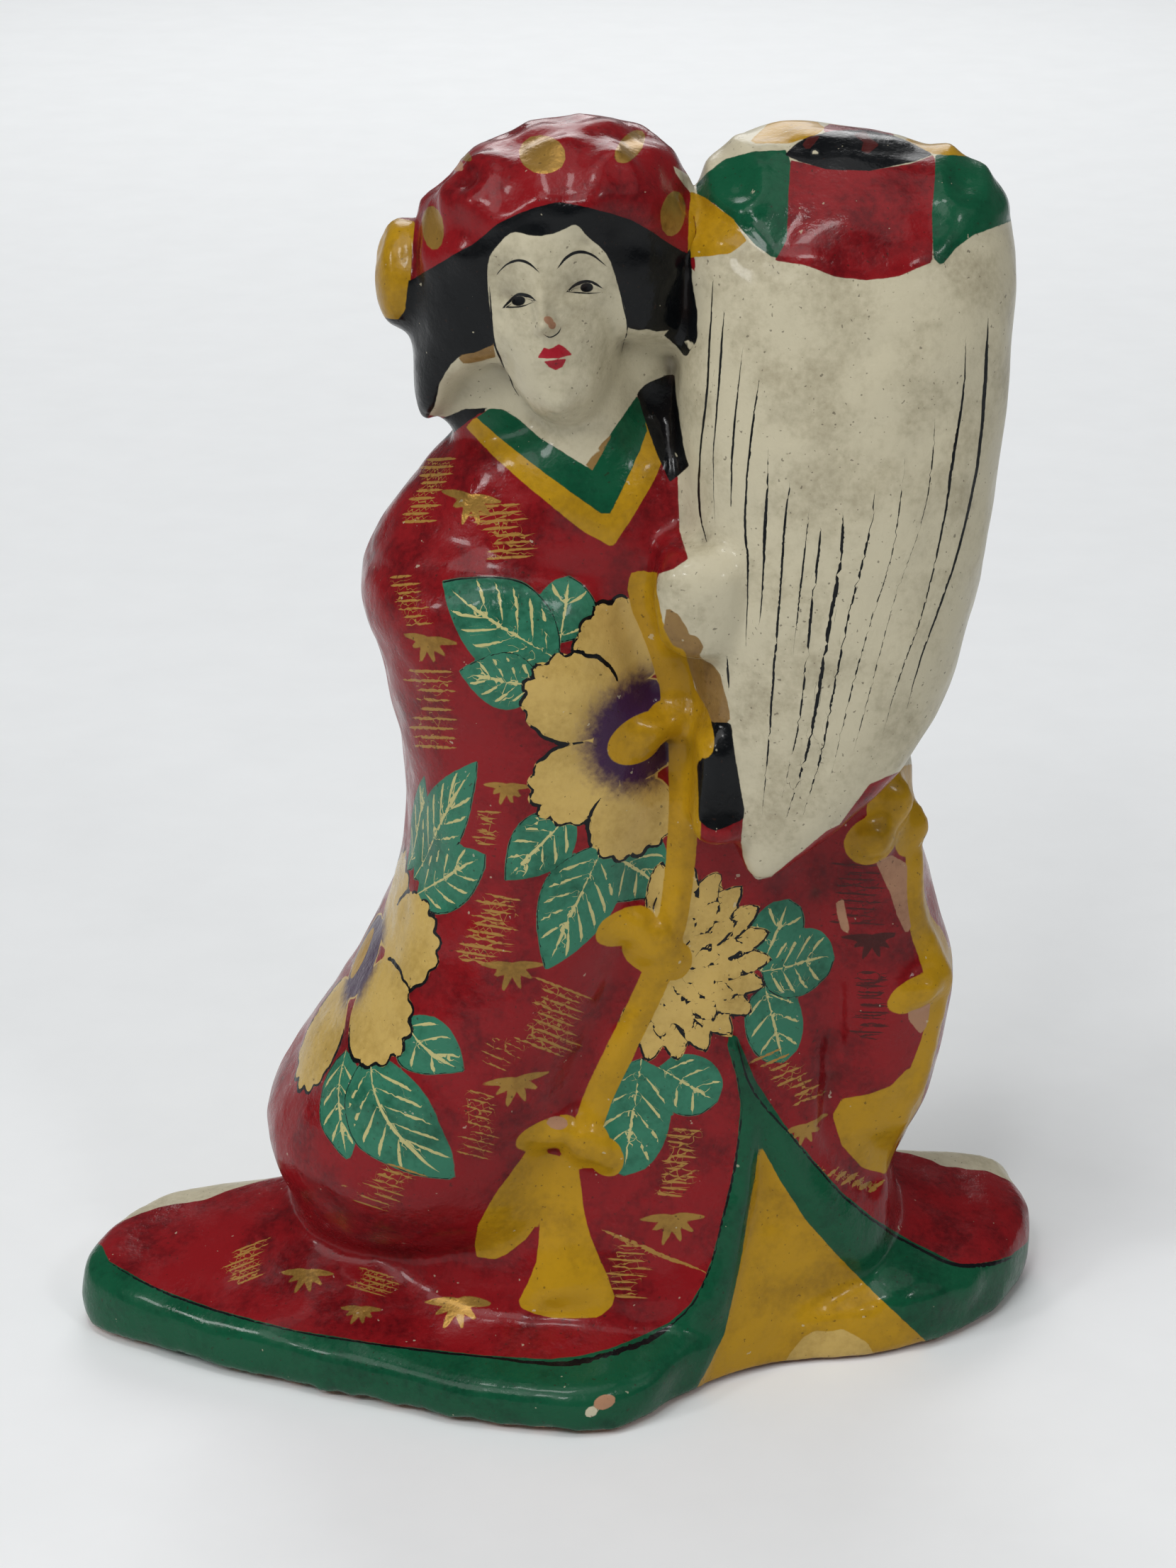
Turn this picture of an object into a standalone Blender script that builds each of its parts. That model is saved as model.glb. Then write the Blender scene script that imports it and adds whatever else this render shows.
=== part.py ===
"""Painted clay figure of a standing woman who holds up a tall white-haired headpiece.

The real thing is one hollow casting, pressed in a two-part mould, so it is one solid here.
Metres, +Z up. The figure looks along -Y, and its base stands centred on the origin.
Every length of the figure is written in shares of its height: one share is a three-hundredth,
which is 1 mm on the 300 mm figure. In a form, x runs across, y to the back and z up.
"""

import math

import bmesh
import bpy
import numpy as np
from mathutils import Matrix, Vector
from mathutils.bvhtree import BVHTree

# Driving sizes, in metres
HEIGHT = 0.300  # floor to the crown of the headdress
HEM_RISE = 0.018  # height of the green edge that runs round the base
CORD_RADIUS = 0.0028  # of the raised cord on the near sleeve
GRAIN = 0.0015  # voxel in which the lumps of clay are fused
TRIANGLES = 9300  # of the finished solid

SHARE = HEIGHT / 300
HEM = HEM_RISE / SHARE
CORD = CORD_RADIUS / SHARE

SIDES = 56  # corners of a lofted ring
RING_STEP = 3.0  # height between the rings of a loft
HEM_SLANT = 0.006  # how much higher the hem lies for each share further back
FOOT_CUT = 0.8  # height at which the fused clay is cut flat for the underside

# The hem on the floor, seen from above: x and y of the corners of a smooth closed outline
HEM_PLAN = (
    (-125, 8), (-120, -6), (-91, -23), (-52, -39), (-20, -50), (2, -52), (14, -46),
    (27, -33), (48, -22), (69, -18), (86, -10), (101, 3), (112, 24), (109, 42), (97, 50),
    (0, 42), (-94, 36), (-116, 27),
)

# Upright forms. Each row is a level: height, left, right, the y of the widest line, front, back
TORSO = (
    (120, -40, 60, 12, -12, 38), (150, -44, 58, 12, -15, 36), (175, -47, 50, 12, -18, 34),
    (195, -52, 46, 11, -20, 33), (205, -49, 44, 10, -21, 32), (216, -41, 40, 9, -20, 30),
    (225, -34, 34, 8, -17, 28), (232, -26, 28, 8, -12, 26), (238, -18, 22, 8, -6, 22),
)
NEAR_SLEEVE = (
    (22, -66, 8, 8, -6, 30), (30, -71, 8, 10, -17, 34), (40, -75, 4, 12, -26, 37),
    (50, -78, 0, 12, -31, 38), (58, -78, 0, 12, -33, 38), (73, -71, 4, 12, -34, 38),
    (88, -61, 8, 12, -33, 38), (103, -52, 13, 12, -32, 37), (118, -46, 18, 12, -31, 36),
    (132, -43, 21, 12, -30, 36), (147, -43, 23, 12, -30, 35), (161, -45, 23, 12, -30, 34),
    (176, -48, 20, 11, -31, 34), (190, -52, 17, 10, -30, 33), (199, -51, 14, 9, -27, 32),
    (207, -46, 9, 8, -20, 28),
)
COAT = (
    (0, -60, 70, 14, -28, 38), (20, -64, 76, 14, -30, 40), (30, -58, 77, 14, -28, 40),
    (45, -50, 74, 15, -25, 40), (62, -46, 70, 15, -23, 39), (90, -42, 66, 15, -21, 38),
    (120, -40, 64, 15, -20, 37), (150, -40, 62, 15, -19, 36),
)
FAR_SLEEVE = (
    (40, 50, 76, 18, 6, 38), (48, 48, 79, 18, -1, 39), (56, 47, 82, 17, -5, 40),
    (71, 46, 86, 16, -9, 40), (86, 46, 88, 15, -10, 40), (96, 46, 88, 15, -10, 40),
    (108, 46, 84, 15, -10, 39), (124, 44, 80, 15, -11, 38), (138, 42, 77, 14, -12, 37),
    (150, 38, 75, 13, -13, 36), (162, 34, 66, 12, -14, 35),
)
HAIRPIECE = (
    (134, 36, 42, -24, -32, -10), (142, 33, 53, -22, -34, 0), (152, 29, 66, -18, -36, 8),
    (165, 26, 76, -14, -37, 14), (180, 23, 83, -10, -38, 20), (200, 21, 88, -8, -38, 24),
    (220, 20, 91, -6, -37, 26), (240, 20, 93, -4, -35, 27), (258, 21, 94, -2, -32, 28),
    (272, 21, 94, 0, -28, 28), (281, 23, 92, 1, -22, 27), (288, 27, 87, 3, -14, 25),
    (293, 34, 78, 5, -6, 20), (296, 42, 68, 7, 0, 14),
)
NECK = (
    (224, -22, 24, 8, -12, 28), (232, -33, 24, 7, -9, 28), (238, -35, 24, 6, -9, 27),
    (246, -34, 23, 5, -10, 26), (256, -33, 23, 4, -12, 26), (266, -32, 22, 4, -14, 26),
)
THROAT = (
    (214, -16, 18, 0, -19, 20), (226, -15, 15, 0, -18, 20), (236, -13, 12, 0, -16, 20),
    (246, -12, 10, 0, -16, 20), (256, -12, 10, 0, -16, 20),
)
LEFT_LOCKS = (
    (234, -38, -34, 4, -4, 18), (238, -38.5, -31, 3, -10, 22), (245, -39, -27, 2, -14, 24),
    (250, -39, -18, 2, -17, 25), (255, -39, -2, 2, -20, 26), (262, -39, 4, 2, -22, 26),
    (276, -37, 8, 2, -25, 26),
)
RIGHT_LOCKS = (
    (251, 17, 23, 2, -8, 18), (254, 10, 24, 2, -13, 22), (257, -4, 24, 2, -18, 24),
    (262, -16, 24, 2, -21, 26), (270, -22, 24, 2, -23, 27), (280, -22, 23, 2, -25, 27),
)
CROWN = (
    (252, -33, 22, 2, -12, 25), (262, -38, 23.5, 2, -21, 28), (270, -38, 24, 2, -25, 29),
    (279, -36, 23.5, 2, -27, 29), (286, -31.5, 21, 2, -27, 27), (292, -25, 17.5, 2, -23.5, 22),
    (296, -18, 13, 1.5, -18, 17), (299, -11, 7, 1, -11, 10), (300, -7, 3, 1, -5, 5),
)
SIDE_PIN = (
    (254, -43, -34, 4, -2, 10), (258, -46, -34, 4, -6, 14), (265, -47, -34, 4, -8, 16),
    (272, -46, -34, 4, -6, 14), (276, -42, -34, 4, -2, 10),
)
# The face in a frame of its own, between the eyes
FACE = (
    (-31, -4, 4, -15, -19, -4), (-29, -7, 7, -14, -22, 0), (-24, -10.5, 10.5, -12, -25.5, 6),
    (-17, -13, 13, -9, -27.5, 12), (-8, -14.4, 14.4, -7, -28.5, 14), (2, -15, 15, -6, -28.5, 14),
    (12, -15, 15, -6, -28, 14), (20, -13, 13, -6, -26, 12), (25, -9, 9, -6, -22, 8),
)
FACE_PLACE = (-6.6, 0, 268.5)
FACE_TILT = math.radians(-8)  # the crown leans to the near sleeve
FACE_TURN = math.radians(-7)  # and the nose points a little that way
HAND = (
    (188, 19, 31, -20, -34, -8), (193, 16, 34, -20, -36, -8), (200, 14.5, 35, -20, -38, -8),
    (206, 14.5, 35, -20, -38.5, -8), (210, 15, 34.5, -20, -37, -8), (213, 17, 33, -20, -33, -10),
)
GRIP = (
    (143.5, 25, 33.5, -24, -33, -14), (146, 23, 35, -24, -37, -14), (149, 23, 34.8, -24, -36.5, -14),
    (152, 23.5, 34, -24, -35.5, -14), (160, 24, 33.4, -24, -35.5, -14), (168, 25, 32.6, -24, -35, -14),
    (171, 26.5, 31, -24, -31, -14),
)

# Clay rolled out and laid on the front. Each row is a point: x, z, half the width
NEAR_CORD = (
    (11.8, 206, 0.5 * CORD), (12.6, 200, 0.6 * CORD), (14.4, 191, 0.65 * CORD),
    (17.6, 181, 0.7 * CORD), (20.6, 170, 0.9 * CORD), (21.7, 159, CORD), (21.8, 145, CORD),
    (21, 131, CORD), (19.2, 118, CORD), (14.8, 103, CORD), (8.6, 89, CORD), (3, 76, CORD),
    (-2.4, 60, CORD),
)
FAR_CORD = (
    (77, 128, 0.8 * CORD), (76.8, 119, 0.7 * CORD), (78.6, 110, 0.8 * CORD),
    (82, 102, CORD), (84, 94, CORD), (83, 85, 0.8 * CORD), (80.4, 74, CORD), (77.4, 65, 1.2 * CORD),
)
LEAF_TASSEL = ((-3, 61, 2), (-9, 53.5, 4.2), (-16, 46, 5), (-22, 38.5, 4), (-26, 31.5, 0.8))
BELL_TASSEL = (
    (-3, 60, 3), (-4.6, 52, 3.8), (-5.6, 43, 4.4), (-5.4, 35, 5.6), (-5, 29, 7.8), (-5, 24.5, 9.6),
)
FAR_TASSEL = ((79, 68, 3), (73, 63, 6), (70.5, 55, 6.4), (72.5, 42, 1.6))
CUFF_EDGE = (
    (15.4, 206.5, 1), (16.6, 198, 2), (18.6, 190, 2.6), (21.5, 181, 2.8), (24, 173, 2.4),
    (25.5, 168, 1),
)
HAIR_TRESS = ((15.4, 243, 3.4), (17, 236, 4), (19.4, 228, 4), (21.2, 222, 2.6))

# Pats of clay on the front: x, z, half the width, half the height, rise, turn in degrees
KNOTS = (
    (9, 163, 8.4, 4.6, 3.4, -8), (14, 167.4, 6, 3.6, 3, 35), (19.8, 163.2, 5.6, 5.8, 4.4, 0),
    (25.6, 161.6, 3.6, 5.2, 3.4, 10), (7.2, 118.6, 7.4, 4.4, 3.4, 6), (14.6, 113.6, 6.4, 6.6, 4.2, 0),
    (19.4, 109.6, 4.4, 5, 3.4, 20), (-9.2, 66.6, 7.2, 4.2, 3.4, 8), (-0.8, 63.2, 5.8, 6, 4.2, 0),
    (4.2, 60, 3.8, 5, 3.2, 20), (65.8, 135.6, 6.4, 5.6, 3.6, 30), (70.6, 143, 6, 6.4, 3.4, 0),
    (76, 134, 4.4, 5.6, 3.4, 0), (77.6, 95, 6.8, 4, 3.2, 22), (83.6, 95, 4, 5.2, 3.2, 0),
)

# Raised and sunk fields on the front: the rise, the width of the edge, and the outline in x and z
FIELDS = (
    (1.3, 1.6, (
        (-44, 255), (-37.4, 266.6), (-28.8, 275.1), (-19.5, 282.4), (-7.4, 288.1), (3.1, 286.5),
        (13.7, 279.9), (22.3, 273.4), (24, 270), (23.5, 320), (-44, 320),
    )),
    (0.9, 1.2, (
        (43.4, 294), (42.9, 280.2), (40.1, 275.9), (46.8, 274.8), (58.8, 272.5), (67.9, 273.1),
        (73.7, 274.9), (74.1, 283.8), (75.4, 293),
    )),
    (1.5, 1.4, (
        (22, 284.5), (29, 291.5), (35.6, 294), (43.5, 295), (43, 283.9), (40.1, 276.3),
        (37.9, 278), (30.5, 283),
    )),
    (1.5, 1.4, (
        (75.4, 295), (84, 293), (90, 288), (95, 281), (83, 280.4), (78, 277.9), (74.8, 274.9),
    )),
    (1.2, 1.2, ((20, 283.5), (26, 282), (32.4, 278.2), (28, 275), (20, 273.6))),
    (-1.5, 2, (
        (40.9, 62), (39.7, 47.2), (38, 38.2), (35.5, 27.4), (32.8, 16.8), (29.5, 7.5), (25, -4),
        (87, -4), (73.6, 13.5), (64.5, 24.1), (53.8, 36.6), (45.8, 49),
    )),
    (-2, 8, (
        (41, 66), (39, 47), (36, 32), (35, 20), (48, 14), (62, 16), (64, 24), (54, 37), (46, 49),
    )),
    (0.8, 1.2, (
        (-26.7, 233.5), (-17.1, 225.7), (-4.6, 216.3), (6, 210.2), (11.8, 220.5), (16, 227.2),
        (15, 240), (11.8, 240), (8.7, 236.4), (4.7, 232.8), (0.4, 226.7), (-7.7, 231.7),
        (-14, 234), (-20.3, 238), (-25, 238),
    )),
)
# Ridges and grooves on the front: the rise, and the line as x, z and half the width
CREASES = (
    (1.6, (
        (33, 88, 1.6), (37.6, 72, 2.6), (37.6, 56, 4), (35.4, 42, 5), (31.4, 29, 6), (25.5, 18, 6.4),
        (16, 12, 6.4),
    )),
    (1.4, (
        (33.6, 87, 1.6), (40, 73, 3), (48, 55, 4.6), (57, 41, 6), (67, 29, 7), (80, 18, 7.4),
        (93, 13, 6),
    )),
    (-1.8, ((59, 97, 2), (58.6, 80, 3.6), (57.6, 66, 3.6), (58, 58, 3.4), (63, 50, 3.4), (70, 41, 2.4))),
    (-0.9, ((-50, 200, 2), (-36, 204, 3), (-23, 204.6, 3), (-10, 203.8, 3), (10, 204.4, 2))),
)
# Round swellings and dimples: their centre, radius and rise
SWELLINGS = (
    ((-10.1, -15, 296.3), 5.5, 0.7), ((9.1, -9, 296.8), 5.5, 0.7), ((-33.6, -10, 279.3), 5.5, 0.7),
    ((18.3, -14, 283), 5.5, 0.7), ((-24.2, -14, 289.9), 10, 2), ((-24.2, -15, 290), 3.4, -2),
    ((5.6, -21, 292.6), 9, 1.8), ((5.6, -21, 292.6), 3.4, -2), ((-37, 0, 283), 7, 1.4),
    ((19, 0, 291), 6, 1.4), ((-22, 0, 298), 7, 1.2), ((58.5, 0, 294.5), 15, 1.4),
    ((35.9, -12, 287.6), 5.5, 1.6), ((35.9, -12, 287.6), 2.4, -1.4), ((82.5, -9, 288), 5.5, 1.6),
    ((82.5, -9, 288), 2.4, -1.4),
)
# The same on the face, in its own frame: x, z, half the width, half the height, rise
FACE_SWELLINGS = (
    (0, -6.4, 3, 2.8, 2.6), (0, -2, 2.2, 7, 1.8), (-7.3, 0.6, 5, 3.4, -0.9), (7.3, 0.6, 5, 3.4, -0.9),
    (0, -13.6, 4.6, 2.6, 1), (0, -24.5, 5.5, 4.5, 1), (-9, -9, 5, 6, 0.6), (9, -9, 5, 6, 0.6),
)


def blend_along(rows, at):
    """The row at a level, read from a smooth curve through the rows."""
    levels = [row[0] for row in rows]
    k = max(0, min(len(rows) - 2, sum(level <= at for level in levels) - 1))
    before, start, end, after = (
        rows[max(0, min(len(rows) - 1, k + i))] for i in (-1, 0, 1, 2)
    )
    span = end[0] - start[0]
    t = (at - start[0]) / span
    values = []
    for a, b, c, d in zip(before[1:], start[1:], end[1:], after[1:]):
        slope_b = (c - a) / (end[0] - before[0]) * span
        slope_c = (d - b) / (after[0] - start[0]) * span
        values.append(
            b * (1 + 2 * t) * (1 - t) ** 2
            + slope_b * t * (1 - t) ** 2
            + c * t * t * (3 - 2 * t)
            + slope_c * t * t * (t - 1)
        )
    return values


def level_ring(left, right, widest, front, back, z, fullness):
    """A ring with its own depth to the front and to the back of its widest line."""
    middle, half = (left + right) / 2, (right - left) / 2
    ring = []
    for k in range(SIDES):
        angle = math.tau * k / SIDES
        c, s = math.cos(angle), math.sin(angle)
        across = math.copysign(abs(c) ** fullness, c)
        depth = math.copysign(abs(s) ** fullness, s)
        reach = (back - widest) if s > 0 else (widest - front)
        ring.append(Vector((middle + half * across, widest + reach * depth, z)))
    return ring


def loft(rings):
    """A closed skin over the rings, from the first to the last."""
    bm = bmesh.new()
    loops = []
    for ring in rings:
        verts = [bm.verts.new(p * SHARE) for p in ring]
        loops.append([bm.edges.new((a, b)) for a, b in zip(verts, verts[1:] + verts[:1])])
    for below, above in zip(loops, loops[1:]):
        bmesh.ops.bridge_loops(bm, edges=below + above)
    for end in (loops[0], loops[-1]):
        bmesh.ops.holes_fill(bm, edges=end, sides=0)
    bmesh.ops.recalc_face_normals(bm, faces=bm.faces)
    return bm


def upright(rows, fullness=0.92, place=Matrix.Identity(4)):
    """A form built up in level rings."""
    low, high = rows[0][0], rows[-1][0]
    count = max(2, round((high - low) / RING_STEP))
    levels = [low + (high - low) * k / count for k in range(count + 1)]
    rings = [level_ring(*blend_along(rows, z), z, fullness) for z in levels]
    return loft([[place @ p for p in ring] for ring in rings])


def closed_curve(corners, per_corner=6):
    """A smooth closed outline through its corners."""
    outline = []
    n = len(corners)
    for k in range(n):
        a, b, c, d = (Vector(corners[(k + i) % n]) for i in (-1, 0, 1, 2))
        for step in range(per_corner):
            t = step / per_corner
            outline.append(
                0.5 * (2 * b + (c - a) * t + (2 * a - 5 * b + 4 * c - d) * t * t
                       + (3 * b - a - 3 * c + d) * t ** 3)
            )
    return outline


def open_curve(corners, per_corner=6):
    """A smooth open line through its corners, each a row of any width."""
    line = []
    n = len(corners)
    for k in range(n - 1):
        a, b, c, d = (Vector(corners[max(0, min(n - 1, k + i))]) for i in (-1, 0, 1, 2))
        for step in range(per_corner):
            t = step / per_corner
            line.append(
                0.5 * (2 * b + (c - a) * t + (2 * a - 5 * b + 4 * c - d) * t * t
                       + (3 * b - a - 3 * c + d) * t ** 3)
            )
    line.append(Vector(corners[-1]))
    return line


def train():
    """The spread hem: a thick upright edge, and a top that climbs to the foot of the robe."""
    outline = closed_curve(HEM_PLAN)
    centre = Vector((-4, 2))
    levels = (
        (0, 0.975), (0.15, 0.995), (0.5, 1.0), (0.85, 0.995), (1.0, 0.97), (1.1, 0.92),
        (1.2, 0.84), (1.35, 0.74), (1.6, 0.62), (1.9, 0.5),
    )
    rings = []
    for rise, reach in levels:
        rings.append([
            Vector((*(centre + (p - centre) * reach), HEM * rise * (0.95 + HEM_SLANT * p.y)))
            for p in outline
        ])
    return loft(rings)


def face_place():
    """The frame of the face: between the eyes, tilted and turned with the head."""
    return (
        Matrix.Translation(FACE_PLACE)
        @ Matrix.Rotation(FACE_TURN, 4, "Z")
        @ Matrix.Rotation(FACE_TILT, 4, "Y")
    )


def figure_masses():
    """The large lumps of clay, before the small ones are pressed on."""
    return [
        train(), upright(COAT), upright(TORSO), upright(NEAR_SLEEVE, 0.86), upright(FAR_SLEEVE),
        upright(HAIRPIECE, 0.8), upright(NECK), upright(THROAT), upright(LEFT_LOCKS),
        upright(RIGHT_LOCKS), upright(CROWN), upright(SIDE_PIN, 0.8),
        upright(FACE, 1.0, face_place()), upright(HAND, 0.55), upright(GRIP, 0.6),
    ]


def gathered(lumps):
    """All the lumps in one bmesh."""
    whole = bmesh.new()
    for lump in lumps:
        part = bpy.data.meshes.new("lump")
        lump.to_mesh(part)
        lump.free()
        whole.from_mesh(part)
        bpy.data.meshes.remove(part)
    return whole


def front_of(clay, x, z):
    """The y of the clay's front at x and z."""
    hit = clay.ray_cast(Vector((x, -HEIGHT / SHARE, z)) * SHARE, Vector((0, 1, 0)))
    return hit[0].y / SHARE


def rolled(clay, rows, rise=1.0, sunk=0.3):
    """A roll of clay laid along a line on the front, as deep as it is wide times the rise."""
    line = open_curve(rows)
    fronts = [front_of(clay, p[0], p[1]) for p in line]
    rings = []
    for k, p in enumerate(line):
        near = fronts[max(0, k - 3):k + 4]
        depth = sum(near) / len(near)
        ahead = line[min(len(line) - 1, k + 1)] - line[max(0, k - 1)]
        along = Vector((ahead[0], 0, ahead[1])).normalized()
        side = Vector((0, -1, 0)).cross(along)
        width = p[2]
        centre = Vector((p[0], depth + sunk * width, p[1]))
        ring = []
        for corner in range(12):
            angle = math.tau * corner / 12
            out = Vector((0, -rise * math.sin(angle), 0))
            ring.append(centre + width * (side * math.cos(angle) + out))
        rings.append(ring)
    return loft(rings)


def pat(clay, x, z, half_width, half_height, rise, turn):
    """A pat of clay, thickest in its middle, pressed on the front."""
    bm = bmesh.new()
    place = (
        Matrix.Translation(Vector((x, front_of(clay, x, z) + 0.3 * rise, z)) * SHARE)
        @ Matrix.Rotation(math.radians(-turn), 4, "Y")
        @ Matrix.Diagonal((half_width * SHARE, 1.3 * rise * SHARE, half_height * SHARE, 1))
    )
    bmesh.ops.create_icosphere(bm, subdivisions=3, radius=1, matrix=place)
    return bm


def small_forms(clay):
    """Cords, knots, tassels, the edge of the cuff and the tress."""
    forms = [
        rolled(clay, NEAR_CORD), rolled(clay, FAR_CORD), rolled(clay, LEAF_TASSEL, 0.5),
        rolled(clay, BELL_TASSEL, 0.5), rolled(clay, FAR_TASSEL, 0.3),
        rolled(clay, CUFF_EDGE, 0.6), rolled(clay, HAIR_TRESS, 0.5),
    ]
    return forms + [pat(clay, *row) for row in KNOTS]


def fused(whole, grain):
    """The lumps as one smooth skin of clay."""
    mesh = bpy.data.meshes.new("lumps")
    whole.to_mesh(mesh)
    lumps = bpy.data.objects.new("lumps", mesh)
    bpy.context.scene.collection.objects.link(lumps)
    fuse = lumps.modifiers.new("fuse", "REMESH")
    fuse.mode = "VOXEL"
    fuse.voxel_size = grain
    soften = lumps.modifiers.new("soften", "SMOOTH")
    soften.factor = 0.5
    soften.iterations = 6
    skin = bpy.data.meshes.new_from_object(
        lumps.evaluated_get(bpy.context.evaluated_depsgraph_get())
    )
    bpy.data.objects.remove(lumps)
    return skin


def outer_skin(bm):
    """Keeps the largest shell and deletes what is closed up inside it."""
    left = set(bm.verts)
    shells = []
    while left:
        shell, edge = set(), [left.pop()]
        while edge:
            vert = edge.pop()
            shell.add(vert)
            for other in vert.link_edges:
                near = other.other_vert(vert)
                if near in left:
                    left.discard(near)
                    edge.append(near)
        shells.append(shell)
    largest = max(shells, key=len)
    inner = [vert for shell in shells if shell is not largest for vert in shell]
    bmesh.ops.delete(bm, geom=inner, context="VERTS")


def widths_away(points, rows):
    """How many half-widths each point lies from a line whose rows are x, z and half the width."""
    line = np.array([tuple(row) for row in rows], float)
    nearest = np.full(len(points), np.inf)
    for a, b in zip(line, line[1:]):
        run = b[:2] - a[:2]
        t = np.clip((points - a[:2]) @ run / (run @ run), 0, 1)
        away = points - a[:2] - t[:, None] * run
        nearest = np.minimum(nearest, np.hypot(away[:, 0], away[:, 1]) / (a[2] + t * (b[2] - a[2])))
    return nearest


def depth_inside(points, outline):
    """How far each point lies inside an outline, negative outside it."""
    corners = np.array(outline, float)
    inside = np.zeros(len(points), bool)
    for a, b in zip(corners, np.roll(corners, -1, axis=0)):
        spans = (a[1] > points[:, 1]) != (b[1] > points[:, 1])
        rise = b[1] - a[1] if b[1] != a[1] else 1
        crossing = a[0] + (points[:, 1] - a[1]) * (b[0] - a[0]) / rise
        inside ^= spans & (points[:, 0] < crossing)
    rim = [(*corner, 1) for corner in (*outline, outline[0])]
    return np.where(inside, 1, -1) * widths_away(points, rim)


def eased(t):
    """A smooth step from 0 to 1."""
    t = np.clip(t, 0, 1)
    return t * t * (3 - 2 * t)


def dome(r):
    """A smooth rise from 0 at r = 1 to 1 at r = 0."""
    return (1 - np.clip(r, 0, 1) ** 2) ** 2


def carving(points, normals):
    """How far the finer relief lifts each point of the clay along its normal, in shares."""
    flat = points[:, [0, 2]]
    front = eased((0.25 - normals[:, 1]) / 0.35)
    lift = np.zeros(len(points))
    for rise, edge, outline in FIELDS:
        lift += front * rise * eased(depth_inside(flat, outline) / edge + 0.5)
    for rise, line in CREASES:
        lift += front * rise * dome(widths_away(flat, open_curve(line)))
    for centre, radius, rise in SWELLINGS:
        lift += rise * dome(np.linalg.norm(points - np.array(centre), axis=1) / radius)
    turn = np.array(face_place().inverted())
    on_face = points @ turn[:3, :3].T + turn[:3, 3]
    for x, z, half_width, half_height, rise in FACE_SWELLINGS:
        away = np.hypot((on_face[:, 0] - x) / half_width, (on_face[:, 2] - z) / half_height)
        lift += front * (on_face[:, 1] < -12) * rise * dome(away)
    return lift


def carved(skin):
    """The skin with its finer relief."""
    count = len(skin.vertices)
    points = np.empty(count * 3, np.float32)
    normals = np.empty(count * 3, np.float32)
    skin.vertices.foreach_get("co", points)
    skin.vertex_normals.foreach_get("vector", normals)
    points, normals = points.reshape(-1, 3) / SHARE, normals.reshape(-1, 3)
    points = points + normals * carving(points, normals)[:, None]
    skin.vertices.foreach_set("co", (points * SHARE).ravel())
    return skin


def standing(skin):
    """The skin cut flat underneath, with the middle of its underside's box on the origin."""
    bm = bmesh.new()
    bm.from_mesh(skin)
    outer_skin(bm)
    cut = bmesh.ops.bisect_plane(
        bm, geom=[*bm.verts, *bm.edges, *bm.faces], plane_co=(0, 0, FOOT_CUT * SHARE),
        plane_no=(0, 0, 1), clear_inner=True,
    )
    rim = [item for item in cut["geom_cut"] if isinstance(item, bmesh.types.BMEdge)]
    bmesh.ops.holes_fill(bm, edges=rim, sides=0)
    middle = [
        (min(v.co[i] for v in bm.verts) + max(v.co[i] for v in bm.verts)) / 2 for i in (0, 1)
    ]
    bmesh.ops.translate(bm, verts=bm.verts, vec=(-middle[0], -middle[1], -FOOT_CUT * SHARE))
    bmesh.ops.triangulate(bm, faces=bm.faces)
    bm.to_mesh(skin)
    bm.free()
    return skin


def thinned(skin, triangles):
    """The skin with about as many triangles as asked for, most of them where it bends."""
    heavy = bpy.data.objects.new("heavy", skin)
    bpy.context.scene.collection.objects.link(heavy)
    thin = heavy.modifiers.new("thin", "DECIMATE")
    thin.ratio = triangles / (2 * len(skin.polygons))
    light = bpy.data.meshes.new_from_object(
        heavy.evaluated_get(bpy.context.evaluated_depsgraph_get())
    )
    bpy.data.objects.remove(heavy)
    return light


def lacquer():
    """The red lacquer that covers most of the figure."""
    paint = bpy.data.materials.new("red lacquer over clay")
    paint.use_nodes = True
    shader = paint.node_tree.nodes["Principled BSDF"]
    shader.inputs["Base Color"].default_value = (0.31, 0.012, 0.022, 1)
    shader.inputs["Roughness"].default_value = 0.25
    shader.inputs["Metallic"].default_value = 0
    return paint


def main():
    for obj in list(bpy.data.objects):
        bpy.data.objects.remove(obj)
    masses = gathered(figure_masses())
    clay = BVHTree.FromBMesh(masses)
    masses_mesh = bpy.data.meshes.new("masses")
    masses.to_mesh(masses_mesh)
    masses.free()
    whole = gathered(small_forms(clay))
    whole.from_mesh(masses_mesh)
    bpy.data.meshes.remove(masses_mesh)
    skin = thinned(carved(fused(whole, GRAIN)), TRIANGLES)
    whole.free()
    doll = bpy.data.objects.new("clay_doll", standing(skin))
    doll.data.materials.append(lacquer())
    bpy.context.scene.collection.objects.link(doll)
    return doll


if __name__ == "__main__":
    main()
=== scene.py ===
"""Looks of the painted clay figure: a lady in a long robe who holds up a white-haired headpiece.

The real thing is one hollow casting of fired clay, whitened, painted by hand and lacquered.
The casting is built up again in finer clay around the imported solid, which it replaces, and the
paint is laid on it coat by coat. Forms are written in shares of the height, as in the solid:
one share is 1 mm on the 300 mm figure. Places of the painting are pixels of the photograph,
which is 1659 wide and 2212 high: its camera is known, so each pixel is a point of the clay.
"""

import math
import random

import bmesh
import bpy
import numpy as np
from bpy.props import FloatProperty, FloatVectorProperty, IntProperty, PointerProperty
from mathutils import Matrix, Vector, noise
from mathutils.bvhtree import BVHTree


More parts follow.
